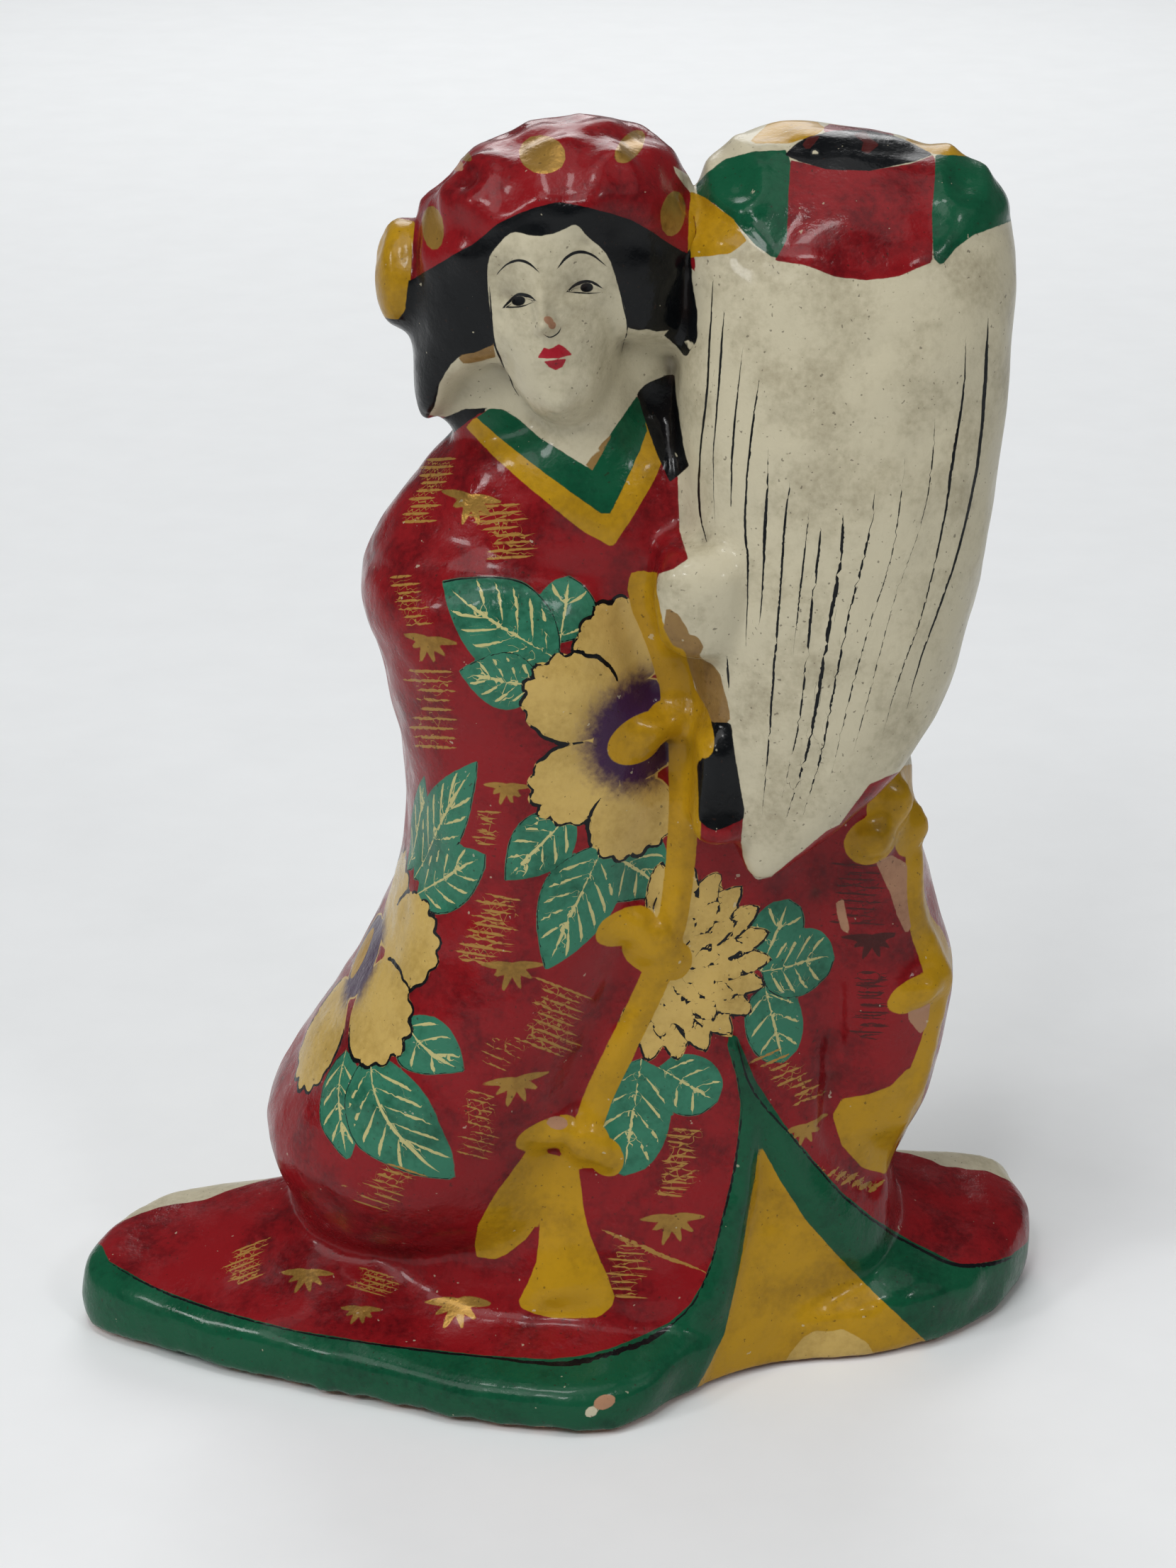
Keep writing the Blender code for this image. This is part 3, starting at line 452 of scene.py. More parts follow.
# Painting on the figure, in pixels of the photograph
# Coats laid in this order over the red of the robe: the colour and its outline
HEADPIECE_COATS = (
    ("white", (
        (985, 250), (1000, 190), (1080, 120), (1420, 120), (1530, 260), (1530, 700), (1450, 950),
        (1385, 1010), (1294, 1077), (1272, 1089), (1229, 1107), (1213, 1129), (1187, 1164),
        (1169, 1173), (1130, 1205), (1090, 1238), (1069, 1244), (1055, 1228), (1048, 1211),
        (1045, 1188), (1048, 1152), (1003, 1018), (993, 998), (980, 973), (970, 925), (960, 908),
        (934, 877), (925, 829), (927, 807), (950, 800), (970, 786), (958, 749), (955, 668),
        (972, 640), (968, 560), (970, 500), (983, 465), (980, 360), (952, 300), (945, 225),
    )),
    ("yellow", (
        (976, 268), (994, 276), (1018, 294), (1034, 306), (1053, 336), (1030, 353), (998, 357),
        (970, 359), (968, 300),
    )),
    ("yellow", (
        (1060, 197), (1068, 188), (1088, 170), (1114, 160), (1145, 164), (1164, 177), (1149, 187),
        (1114, 197),
    )),
    ("red", (
        (1164, 177), (1180, 168), (1206, 172), (1233, 172), (1262, 187), (1240, 200), (1165, 195),
    )),
    ("yellow", (
        (1280, 193), (1321, 190), (1348, 192), (1372, 200), (1390, 216), (1359, 216), (1321, 212),
        (1300, 208),
    )),
    ("green", (
        (984, 258), (1000, 240), (1024, 222), (1065, 211), (1110, 209), (1115, 225), (1112, 270),
        (1110, 334), (1095, 361), (1068, 342), (1040, 310), (1010, 283), (986, 272),
    )),
    ("green", (
        (1323, 216), (1345, 213), (1378, 217), (1405, 231), (1425, 255), (1441, 292), (1436, 304),
        (1400, 318), (1375, 327), (1350, 345), (1330, 370), (1320, 360), (1318, 300), (1322, 250),
    )),
    ("red", (
        (1115, 223), (1168, 235), (1229, 238), (1290, 228), (1319, 216), (1322, 250), (1317, 300),
        (1316, 365), (1270, 385), (1225, 391), (1180, 386), (1140, 370), (1095, 363), (1110, 334),
        (1114, 270),
    )),
    ("black", (
        (1110, 214), (1125, 200), (1137, 192), (1179, 181), (1225, 181), (1260, 188), (1283, 197),
        (1316, 214), (1290, 223), (1229, 236), (1168, 234), (1130, 223),
    )),
    # Umber here is the brown of chips on the black top
    ("umber_and_shade", ((1135, 200), (1142, 190), (1156, 188), (1148, 200), (1140, 207))),
    ("umber_and_shade", (
        (1207, 186), (1222, 182), (1226, 190), (1240, 200), (1226, 212), (1218, 208), (1222, 196),
    )),
    ("tan", ((942, 858), (956, 866), (968, 884), (974, 902), (966, 914), (950, 908), (938, 884))),
    ("tan", (
        (964, 902), (972, 894), (985, 899), (992, 912), (985, 924), (994, 932), (1006, 938),
        (1016, 952), (1021, 974), (1027, 994), (1030, 1017), (1003, 1018), (990, 990), (976, 946),
    )),
    ("black", (
        (1003, 1016), (1022, 1018), (1032, 1023), (1033, 1042), (1040, 1087), (1050, 1142),
        (1048, 1156), (1036, 1160), (1022, 1167), (1008, 1171), (997, 1165), (985, 1153),
        (979, 1104), (978, 1077), (990, 1073), (1003, 1056),
    )),
)
HEAD_COATS = (
    ("white", (
        (600, 400), (700, 290), (860, 290), (985, 380), (985, 465), (968, 540), (949, 560),
        (901, 555), (882, 583), (863, 610), (836, 661), (824, 656), (798, 640), (761, 617),
        (729, 589), (710, 577), (692, 575), (650, 590), (560, 580), (570, 500),
    )),
    ("tan", ((695, 482), (697, 500), (672, 507), (655, 510), (646, 500), (670, 496))),
    ("tan", ((828, 654), (834, 662), (863, 612), (852, 622))),
    ("black", (
        (540, 420), (577, 390), (614, 365), (650, 345), (670, 330), (701, 305), (733, 290),
        (788, 276), (860, 290), (919, 316), (973, 350), (976, 397), (983, 436), (983, 476),
        (968, 500), (955, 484), (939, 470), (927, 464), (915, 460), (901, 462), (887, 458),
        (883, 432), (876, 409), (868, 381), (863, 366), (857, 354), (847, 343), (836, 335),
        (826, 325), (819, 316),
        (812, 312), (806, 313), (797, 318), (780, 325), (762, 328), (746, 327), (732, 323),
        (722, 322), (713, 328), (704, 338), (696, 347), (689, 358), (686, 372), (686, 397),
        (688, 420), (691, 444), (697, 484), (670, 496), (646, 500), (635, 510), (626, 523),
        (618, 539), (611, 571), (599, 590), (560, 570), (540, 500),
    )),
    ("yellow", (
        (584, 300), (583, 314), (579, 350), (577, 392), (574, 412), (572, 436), (560, 450),
        (500, 440), (490, 370), (510, 300), (560, 290),
    )),
    ("red", (
        (577, 395), (614, 373), (650, 351), (670, 341), (701, 314), (733, 298), (757, 290),
        (788, 282), (820, 288), (860, 298), (891, 308), (919, 324), (943, 341), (972, 358),
        (974, 294), (977, 274), (953, 243), (920, 140), (760, 90), (590, 140), (530, 300),
        (583, 310), (579, 350),
    )),
    ("white", ((940, 520), (985, 520), (985, 664), (968, 668), (955, 600))),
    ("black", (
        (900, 552), (915, 539), (939, 529), (951, 527), (953, 555), (964, 630), (971, 656),
        (946, 676), (931, 644), (915, 600),
    )),
    ("black", (
        (692, 574), (666, 586), (640, 606), (604, 636), (584, 664), (560, 690), (560, 640),
        (600, 600), (655, 576),
    )),
)
ROBE_COATS = (
    ("yellow", (
        (891, 808), (887, 829), (893, 860), (905, 887), (917, 918), (924, 942), (932, 967),
        (934, 990), (960, 1030), (1003, 1018), (993, 998), (980, 973), (970, 925), (960, 908),
        (934, 877), (925, 829), (927, 807),
    )),
    ("yellow", (
        (658, 600), (694, 638), (740, 679), (786, 717), (824, 747), (864, 769), (893, 725),
        (920, 679), (934, 648), (916, 600), (905, 590), (850, 700), (740, 640), (671, 588),
    )),
    ("green", (
        (671, 589), (710, 622), (733, 640), (763, 663), (805, 694), (847, 724), (862, 724),
        (886, 675), (905, 633), (915, 603), (900, 557), (882, 583), (863, 610), (834, 662),
        (824, 656), (798, 640), (761, 617), (729, 589), (710, 577), (692, 574),
    )),
    ("green", (
        (1030, 1462), (1028, 1477), (1040, 1516), (1047, 1560), (1043, 1608), (1036, 1656),
        (1018, 1732), (1007, 1777), (994, 1812), (975, 1844), (946, 1869), (914, 1885),
        (863, 1906), (819, 1917), (777, 1922), (690, 1917), (549, 1902), (415, 1881), (304, 1852),
        (216, 1820), (151, 1783), (140, 1760), (60, 1760), (60, 1900), (300, 2060), (600, 2140),
        (900, 2100), (975, 1981), (1004, 1927), (1024, 1885), (1040, 1815), (1050, 1767),
        (1058, 1713), (1067, 1665), (1072, 1617), (1060, 1560), (1048, 1500), (1038, 1465),
    )),
    ("green", (
        (1030, 1462), (1040, 1465), (1065, 1526), (1106, 1588), (1147, 1639), (1188, 1685),
        (1234, 1723), (1285, 1754), (1346, 1784), (1361, 1789), (1402, 1784), (1428, 1776),
        (1453, 1756), (1459, 1720), (1520, 1720), (1520, 1850), (1400, 1960), (1313, 1902),
        (1234, 1828), (1183, 1776), (1137, 1725), (1101, 1669), (1073, 1618), (1050, 1560),
    )),
    ("yellow", (
        (1073, 1618), (1101, 1669), (1137, 1725), (1183, 1776), (1234, 1828), (1313, 1902),
        (1310, 1990), (1000, 2080), (940, 2040), (975, 1981), (1004, 1927), (1024, 1885),
        (1040, 1815), (1050, 1767), (1058, 1713), (1067, 1665),
    )),
    ("petal", (
        (1098, 1958), (1103, 1932), (1116, 1909), (1134, 1888), (1150, 1879), (1172, 1880),
        (1190, 1876), (1212, 1888), (1226, 1896), (1236, 1914), (1212, 1928), (1190, 1932),
        (1176, 1944), (1140, 1962),
    )),
    ("bare", ((985, 1990), (1019, 1962), (1055, 1940), (1064, 1936), (1062, 1950), (1010, 2000))),
    ("bare", (
        (1239, 1218), (1259, 1208), (1280, 1220), (1295, 1276), (1292, 1310), (1280, 1315),
        (1268, 1290), (1259, 1261),
    )),
    ("bare", ((1282, 1419), (1310, 1399), (1326, 1389), (1330, 1425), (1300, 1458), (1285, 1440))),
    ("bare", ((1182, 1275), (1190, 1270), (1196, 1300), (1200, 1317), (1190, 1312), (1184, 1292))),
)
# Outlines of the three tassels
TASSELS = (
    ((772, 1630), (812, 1640), (815, 1649), (819, 1681), (823, 1713), (831, 1745), (844, 1777),
     (857, 1806), (866, 1831), (863, 1844), (844, 1860), (819, 1861), (780, 1861), (755, 1855),
     (736, 1847), (733, 1838), (745, 1815), (758, 1783), (761, 1758), (763, 1720)),
    ((747, 1622), (768, 1620), (777, 1643), (776, 1668), (763, 1700), (758, 1726), (739, 1751),
     (713, 1771), (697, 1778), (673, 1774), (671, 1758), (675, 1732), (688, 1707), (704, 1681),
     (723, 1656)),
    ((1312, 1512), (1300, 1557), (1268, 1612), (1250, 1657), (1218, 1648), (1190, 1617),
     (1177, 1576), (1190, 1553), (1227, 1547), (1259, 1535), (1281, 1512)),
)
# Small spots: the colour, the middle, half the width and half the height, and the turn in degrees
SPOTS = (
    ("gold", 765, 214, 32, 26, 10), ("gold", 889, 203, 27, 14, -50), ("gold", 610, 318, 14, 30, -5),
    ("gold", 950, 298, 16, 31, 8), ("gold", 648, 212, 18, 6, 30), ("bare", 642, 228, 12, 7, 30),
    ("white", 972, 482, 8, 6, 20), ("white", 936, 466, 11, 4, -15), ("white", 954, 640, 4, 5, 0),
    ("white", 1151, 212, 6, 6, 0), ("bare", 786, 1586, 14, 8, 6),
    ("white", 834, 1995, 11, 9, -30), ("bare", 853, 1981, 15, 9, -20),
    ("bare", 761, 2023, 10, 5, -10), ("bare", 774, 449, 6, 4, 35), ("bare", 779, 456, 4, 4, 0),
)

# Directions square on to the painting: the turn about the figure and the rise, in degrees
SIDE_TURNS = {"front": (0, 0), "left": (-48, 0), "train": (-10, 62), "right": (24, 0), "hem": (0, 34)}
# Blades of leaves: side, stalk end, tip, half the width, pairs of veins, and roundness of the tip
LEAVES = (
    ("front", (790, 905), (803, 812), 7.2, 2, 0.5), ("front", (788, 930), (625, 820), 9.6, 5, 0),
    ("front", (762, 968), (648, 946), 6.6, 4, 0), ("left", (573, 1228), (598, 1096), 4.6, 3, 0),
    ("left", (583, 1240), (672, 1075), 7.0, 5, 0), ("left", (588, 1262), (684, 1207), 7.6, 4, 0.3),
    ("front", (806, 1146), (713, 1241), 6.8, 4, 0), ("front", (842, 1190), (938, 1262), 8.8, 4, 0.4),
    ("front", (852, 1192), (770, 1368), 8.8, 5, 0), ("left", (487, 1484), (490, 1638), 7, 4, 0),
    ("left", (570, 1440), (652, 1512), 6.8, 3, 0), ("left", (522, 1484), (639, 1665), 9.4, 5, 0),
    ("front", (1074, 1370), (1114, 1270), 6.6, 3, 1), ("front", (1080, 1392), (1106, 1500), 6.6, 3, 1),
    ("front", (1076, 1372), (1178, 1352), 8.4, 4, 1), ("front", (930, 1508), (1012, 1556), 7.4, 3, 1),
    ("front", (905, 1496), (880, 1660), 8.8, 4, 1),
)
# Petals of the two large flowers: side, middle, half the length, half the width, the flower's heart
PETALS = (
    ("front", (876, 912), 11, 10.6, (904, 1040)), ("front", (806, 988), 10.8, 10.4, (904, 1040)),
    ("front", (812, 1104), 10.4, 9.6, (904, 1040)), ("front", (892, 1156), 9.6, 10, (898, 1060)),
    ("left", (556, 1270), 10.6, 10, (514, 1350)), ("left", (572, 1330), 11.6, 10.8, (514, 1350)),
    ("left", (532, 1430), 11.6, 11, (514, 1350)), ("left", (452, 1462), 11, 11, (514, 1350)),
)
# Purple at the flowers' hearts: side, middle and reach; and yellow, with its two halves
STAINS = (("front", (908, 1040), 11.6), ("left", (514, 1350), 8.5))
FLOWER_HEARTS = (("left", (509, 1346), 3.2, 5.2),)
# The many-petalled flower: side, heart, reach and number of petals of each ring, and the angles
# in degrees between which the petals spread
DAISY = ("front", (938, 1366), ((25, 14), (19, 11), (13, 8)), (-122, 100))
# Gold maple leaves: side, middle of the fan and its reach
MAPLES = (
    ("front", (664, 699), 6.6), ("left", (602, 900), 6.4), ("front", (714, 1108), 5),
    ("front", (722, 1362), 7), ("front", (728, 1524), 7.6), ("front", (949, 1719), 7.6),
    ("front", (1138, 1590), 5.4), ("train", (432, 1796), 6.6), ("train", (645, 1838), 8),
    ("train", (508, 1848), 5),
)
# Bands of gold mist: side, middle, width, number of lines and the step between them, their slope
# in degrees as the photograph shows it, how far each lies left of the one above, half a line
MISTS = (
    ("left", (606, 690), 9.6, 9, 1.77, 3, 0.95, 0.34), ("front", (716, 748), 14, 8, 1.75, 4, -0.5, 0.34),
    ("left", (578, 846), 8, 7, 1.9, 5, -0.35, 0.3), ("left", (612, 1000), 12, 9, 2.2, -2, -0.15, 0.42),
    ("front", (685, 1168), 6, 6, 1.5, -3, 0, 0.3), ("front", (690, 1312), 14, 10, 1.75, -9, 0.5, 0.36),
    ("front", (786, 1440), 15, 9, 1.85, -21, 0, 0.36), ("front", (704, 1488), 10, 4, 2, -24, 0, 0.24),
    ("front", (680, 1590), 11, 9, 1.8, -14, -0.2, 0.28),
    ("left", (548, 1678), 11, 8, 1.5, -18, 0.4, 0.32),
    ("front", (958, 1642), 9, 11, 1.55, -5, 0.1, 0.32), ("front", (886, 1796), 10, 8, 1.7, -4, 0, 0.28),
    ("front", (1114, 1520), 9, 8, 1.9, 24, -0.8, 0.4), ("right", (1186, 1662), 5, 9, 1.7, 36, -1.4, 0.5),
    ("train", (345, 1786), 12, 7, 1.2, 22, 0.6, 0.3), ("train", (528, 1812), 12, 5, 1.2, -16, 0, 0.26),
)
# Mist lines and a maple on the far sleeve, painted dark brown: painted shade on gold that lies in shadow
SHADE_PAINTED_MISTS = (
    ("right", (1214, 1262), 15, 9, 1.7, -3, 0, 0.34), ("right", (1230, 1420), 9, 11, 1.55, -2, 0, 0.34),
)
SHADE_PAINTED_MAPLES = (("right", (1232, 1322), 6.4),)
# The long line of mist on the hem: pixels and half the width
LONG_MIST = ((852, 1738, 0.3), (900, 1758, 0.6), (950, 1780, 0.5), (996, 1798, 0.1))

# Brush lines: a pixel of the photograph and half the width in shares at each point
HEM_LINES = (
    ((151, 1783, 0.1), (216, 1820, 0.3), (304, 1852, 0.3), (415, 1881, 0.2), (549, 1902, 0.3),
     (690, 1918, 0.3), (761, 1926, 0.5), (812, 1925, 0.9), (857, 1914, 1.1), (895, 1902, 1.3),
     (921, 1890, 1), (946, 1873, 0.3), (975, 1846, 0.25), (994, 1812, 0.25), (1007, 1777, 0.25),
     (1018, 1732, 0.3), (1036, 1656, 0.35), (1043, 1608, 0.3), (1047, 1560, 0.2), (1036, 1500, 0.2)),
    ((1040, 1468, 0.1), (1054, 1520, 0.3), (1077, 1560, 0.3), (1113, 1600, 0.3), (1147, 1641, 0.3),
     (1188, 1687, 0.3), (1234, 1725, 0.35), (1285, 1757, 0.4), (1346, 1786, 0.5), (1400, 1786, 0.6),
     (1432, 1776, 0.1)),
)
HAIR_LINES = (
    ((1007, 392, 0.04), (1004, 440, 0.19), (997, 560, 0.26), (988, 640, 0.21), (988, 717, 0.26),
     (999, 772, 0.09)),
    ((1022, 436, 0.09), (1018, 500, 0.26), (1012, 580, 0.19), (1007, 644, 0.12), (1009, 735, 0.03)),
    ((1049, 487, 0.04), (1041, 560, 0.19), (1034, 640, 0.26), (1032, 712, 0.09)),
    ((1072, 533, 0.07), (1064, 590, 0.29), (1056, 660, 0.28), (1052, 740, 0.29),
     (1056, 800, 0.26), (1053, 912, 0.04)),
    ((1085, 631, 0.05), (1083, 690, 0.26), (1080, 745, 0.4), (1078, 810, 0.26), (1072, 880, 0.07)),
    ((1118, 671, 0.05), (1109, 730, 0.29), (1102, 830, 0.29), (1094, 930, 0.31),
     (1086, 1040, 0.24), (1076, 1150, 0.04)),
    ((1144, 711, 0.04), (1136, 780, 0.22), (1128, 850, 0.24), (1120, 925, 0.04)),
    ((1159, 739, 0.07), (1156, 780, 0.34), (1146, 860, 0.36), (1138, 940, 0.26),
     (1126, 1030, 0.21), (1104, 1125, 0.04)),
    ((1190, 724, 0.07), (1190, 755, 0.43), (1181, 830, 0.48), (1168, 900, 0.53),
     (1156, 975, 0.45), (1140, 1060, 0.38), (1110, 1154, 0.07)),
    ((1236, 683, 0.04), (1230, 740, 0.26), (1216, 800, 0.29), (1196, 880, 0.29),
     (1178, 970, 0.31), (1158, 1070, 0.29), (1134, 1150, 0.05)),
    ((1278, 645, 0.03), (1270, 720, 0.19), (1258, 790, 0.17), (1232, 870, 0.15),
     (1206, 960, 0.21), (1173, 1095, 0.04)),
    ((1321, 588, 0.04), (1316, 660, 0.19), (1300, 740, 0.09), (1262, 850, 0.1),
     (1222, 1000, 0.14), (1206, 1060, 0.03)),
    ((1365, 470, 0.05), (1360, 560, 0.29), (1346, 650, 0.38), (1332, 740, 0.26),
     (1304, 860, 0.19), (1272, 950, 0.17), (1248, 1032, 0.03)),
    ((1396, 445, 0.07), (1393, 520, 0.48), (1388, 590, 0.43), (1376, 680, 0.41),
     (1358, 760, 0.34), (1326, 860, 0.29), (1300, 930, 0.21), (1281, 999, 0.04)),
    ((1026, 925, 0.09), (1028, 950, 0.29), (1029, 972, 0.1)),
)
FACE_LINES = (
    ((701, 384, 0.06), (713, 371, 0.18), (729, 364, 0.32), (745, 368, 0.3), (760, 381, 0.08)),
    ((787, 374, 0.12), (800, 359, 0.34), (816, 352, 0.38), (836, 357, 0.26), (856, 372, 0.05)),
    ((710, 431, 0.14), (721, 420, 0.34), (732, 413.5, 0.46), (744, 414, 0.42), (755, 421, 0.1)),
    ((710, 431, 0.14), (722, 430.5, 0.18), (738, 428.5, 0.15), (752, 423, 0.06)),
    ((800, 408, 0.14), (811, 399, 0.34), (822, 395, 0.46), (836, 395.5, 0.4), (850, 403, 0.1)),
    ((800, 408, 0.1), (812, 409, 0.15), (830, 410.5, 0.18), (847, 409.5, 0.06)),
    ((767, 469, 0.05), (776, 473, 0.2), (787, 467, 0.2), (791, 459, 0.05)),
    ((690, 400, 0.04), (692, 430, 0.2), (696, 476, 0.26), (707, 506, 0.24), (722, 539, 0.18),
     (732, 556, 0.04)),
    ((872, 396, 0.04), (880, 430, 0.16), (885, 455, 0.2), (883, 473, 0.14), (877, 496, 0.04)),
)
# Pupils: the middle, half the width, half the height and the turn in degrees
PUPILS = ((731, 421.5, 8.6, 5.6, -8), (828, 402.5, 8, 5.6, -4))
LIPS = (
    ((760, 501), (768, 489), (774, 491), (780, 489), (788, 484), (797, 489), (805, 497),
     (788, 501), (772, 502)),
    ((769, 508), (778, 507), (797, 505), (793, 514), (784, 518), (775, 514)),
)


def blend_along(rows, at):
    """The row at a level, read from a smooth curve through the rows."""
    levels = [row[0] for row in rows]
    k = max(0, min(len(rows) - 2, sum(level <= at for level in levels) - 1))
    before, start, end, after = (
        rows[max(0, min(len(rows) - 1, k + i))] for i in (-1, 0, 1, 2)
    )
    span = end[0] - start[0]
    t = (at - start[0]) / span
    values = []
    for a, b, c, d in zip(before[1:], start[1:], end[1:], after[1:]):
        slope_b = (c - a) / (end[0] - before[0]) * span
        slope_c = (d - b) / (after[0] - start[0]) * span
        values.append(
            b * (1 + 2 * t) * (1 - t) ** 2
            + slope_b * t * (1 - t) ** 2
            + c * t * t * (3 - 2 * t)
            + slope_c * t * t * (t - 1)
        )
    return values


def level_ring(left, right, widest, front, back, z, fullness):
    """A ring with its own depth to the front and to the back of its widest line."""
    middle, half = (left + right) / 2, (right - left) / 2
    ring = []
    for k in range(SIDES):
        angle = math.tau * k / SIDES
        c, s = math.cos(angle), math.sin(angle)
        across = math.copysign(abs(c) ** fullness, c)
        depth = math.copysign(abs(s) ** fullness, s)
        reach = (back - widest) if s > 0 else (widest - front)
        ring.append(Vector((middle + half * across, widest + reach * depth, z)))
    return ring


def loft(rings):
    """A closed skin over the rings, from the first to the last."""
    bm = bmesh.new()
    loops = []
    for ring in rings:
        verts = [bm.verts.new(p * SHARE) for p in ring]
        loops.append([bm.edges.new((a, b)) for a, b in zip(verts, verts[1:] + verts[:1])])
    for below, above in zip(loops, loops[1:]):
        bmesh.ops.bridge_loops(bm, edges=below + above)
    for end in (loops[0], loops[-1]):
        bmesh.ops.holes_fill(bm, edges=end, sides=0)
    bmesh.ops.recalc_face_normals(bm, faces=bm.faces)
    return bm


def upright(rows, fullness, place=Matrix.Identity(4)):
    """A form built up in level rings."""
    low, high = rows[0][0], rows[-1][0]
    count = max(2, round((high - low) / RING_STEP))
    levels = [low + (high - low) * k / count for k in range(count + 1)]
    rings = [level_ring(*blend_along(rows, z), z, fullness) for z in levels]
    return loft([[place @ p for p in ring] for ring in rings])


def passed(a, b, c, d, t):
    """A point between b and c on the smooth curve through a, b, c and d."""
    return (
        0.5 * (2 * b + (c - a) * t + (2 * a - 5 * b + 4 * c - d) * t * t
               + (3 * b - a - 3 * c + d) * t ** 3)
    )


def closed_curve(corners, steps):
    """A smooth closed outline through its corners."""
    outline = []
    n = len(corners)
    for k in range(n):
        near = [Vector(corners[(k + i) % n]) for i in (-1, 0, 1, 2)]
        outline += [passed(*near, step / steps) for step in range(steps)]
    return outline


def open_curve(corners):
    """A smooth open line through its corners, each a row of any width."""
    line = []
    n = len(corners)
    for k in range(n - 1):
        near = [Vector(corners[max(0, min(n - 1, k + i))]) for i in (-1, 0, 1, 2)]
        line += [passed(*near, step / CURVE_STEPS) for step in range(CURVE_STEPS)]
    line.append(Vector(corners[-1]))
    return line


def train():
    """The spread hem: a thick upright edge, and a top that climbs to the foot of the robe."""
    outline = closed_curve(HEM_PLAN, HEM_CORNER_STEPS)
    centre = Vector(HEM_CENTRE)
    return loft([
        [
            Vector((*(centre + (p - centre) * reach), HEM * rise * (HEM_MIDDLE + HEM_SLANT * p.y)))
            for p in outline
        ]
        for rise, reach in HEM_LEVELS
    ])


def face_place():
    """The frame of the face: between the eyes, tilted and turned with the head."""
    return (
        Matrix.Translation(FACE_PLACE)
        @ Matrix.Rotation(FACE_TURN, 4, "Z")
        @ Matrix.Rotation(FACE_TILT, 4, "Y")
    )


def figure_masses():
    """The large lumps of clay, before the small ones are pressed on."""
    return [
        train(), *(upright(*form) for form in UPRIGHTS), upright(FACE, 1.0, face_place()),
        *(upright(*form) for form in HELD_UPRIGHTS),
    ]


def gathered(lumps):
    """All the lumps in one bmesh."""
    whole = bmesh.new()
    for lump in lumps:
        part = bpy.data.meshes.new("lump")
        lump.to_mesh(part)
        lump.free()
        whole.from_mesh(part)
        bpy.data.meshes.remove(part)
    return whole


def front_of(clay, x, z):
    """The y of the clay's front at x and z."""
    hit = clay.ray_cast(Vector((x, -CAST_HEIGHT, z)) * SHARE, Vector((0, 1, 0)))
    return hit[0].y / SHARE


def rolled(clay, rows, rise):
    """A roll of clay laid along a line on the front, as deep as it is wide times the rise."""
    line = open_curve(rows)
    fronts = [front_of(clay, p[0], p[1]) for p in line]
    rings = []
    for k, p in enumerate(line):
        near = fronts[max(0, k - ROLL_LEVELLED):k + ROLL_LEVELLED + 1]
        depth = sum(near) / len(near)
        ahead = line[min(len(line) - 1, k + 1)] - line[max(0, k - 1)]
        along = Vector((ahead[0], 0, ahead[1])).normalized()
        side = Vector((0, -1, 0)).cross(along)
        width = p[2]
        centre = Vector((p[0], depth + ROLL_SUNK * width, p[1]))
        ring = []
        for corner in range(ROLL_SIDES):
            angle = math.tau * corner / ROLL_SIDES
            out = Vector((0, -rise * math.sin(angle), 0))
            ring.append(centre + width * (side * math.cos(angle) + out))
        rings.append(ring)
    return loft(rings)


def pat(clay, x, z, half_width, half_height, rise, turn):
    """A pat of clay, thickest in its middle, pressed on the front."""
    bm = bmesh.new()
    place = (
        Matrix.Translation(Vector((x, front_of(clay, x, z) + PAT_SUNK * rise, z)) * SHARE)
        @ Matrix.Rotation(math.radians(-turn), 4, "Y")
        @ Matrix.Diagonal((half_width * SHARE, PAT_DEPTH * rise * SHARE, half_height * SHARE, 1))
    )
    bmesh.ops.create_icosphere(bm, subdivisions=4, radius=1, matrix=place)
    return bm


def small_forms(clay):
    """Cords, knots, tassels, the edge of the cuff and the tress."""
    return [
        *(rolled(clay, rows, rise) for rows, rise in ROLLS), *(pat(clay, *row) for row in KNOTS),
    ]


def fused(whole, grain, strokes):
    """The lumps as one smooth skin of clay."""
    mesh = bpy.data.meshes.new("lumps")
    whole.to_mesh(mesh)
    lumps = bpy.data.objects.new("lumps", mesh)
    bpy.context.scene.collection.objects.link(lumps)
    fuse = lumps.modifiers.new("fuse", "REMESH")
    fuse.mode = "VOXEL"
    fuse.voxel_size = grain
    soften = lumps.modifiers.new("soften", "SMOOTH")
    soften.factor = 0.5
    soften.iterations = strokes
    skin = bpy.data.meshes.new_from_object(
        lumps.evaluated_get(bpy.context.evaluated_depsgraph_get())
    )
    bpy.data.objects.remove(lumps)
    return skin


def outer_skin(bm):
    """Keeps the largest shell and deletes what is closed up inside it."""
    left = set(bm.verts)
    shells = []
    while left:
        shell, edge = set(), [left.pop()]
        while edge:
            vert = edge.pop()
            shell.add(vert)
            for other in vert.link_edges:
                near = other.other_vert(vert)
                if near in left:
                    left.discard(near)
                    edge.append(near)
        shells.append(shell)
    largest = max(shells, key=len)
    inner = [vert for shell in shells if shell is not largest for vert in shell]
    bmesh.ops.delete(bm, geom=inner, context="VERTS")


def widths_away(points, rows):
    """How many half-widths each point lies from a line whose rows are x, z and half the width."""
    line = np.array([tuple(row) for row in rows], float)
    nearest = np.full(len(points), np.inf)
    for a, b in zip(line, line[1:]):
        run = b[:2] - a[:2]
        t = np.clip((points - a[:2]) @ run / max(run @ run, TINY), 0, 1)
        away = points - a[:2] - t[:, None] * run
        nearest = np.minimum(nearest, np.hypot(away[:, 0], away[:, 1]) / (a[2] + t * (b[2] - a[2])))
    return nearest


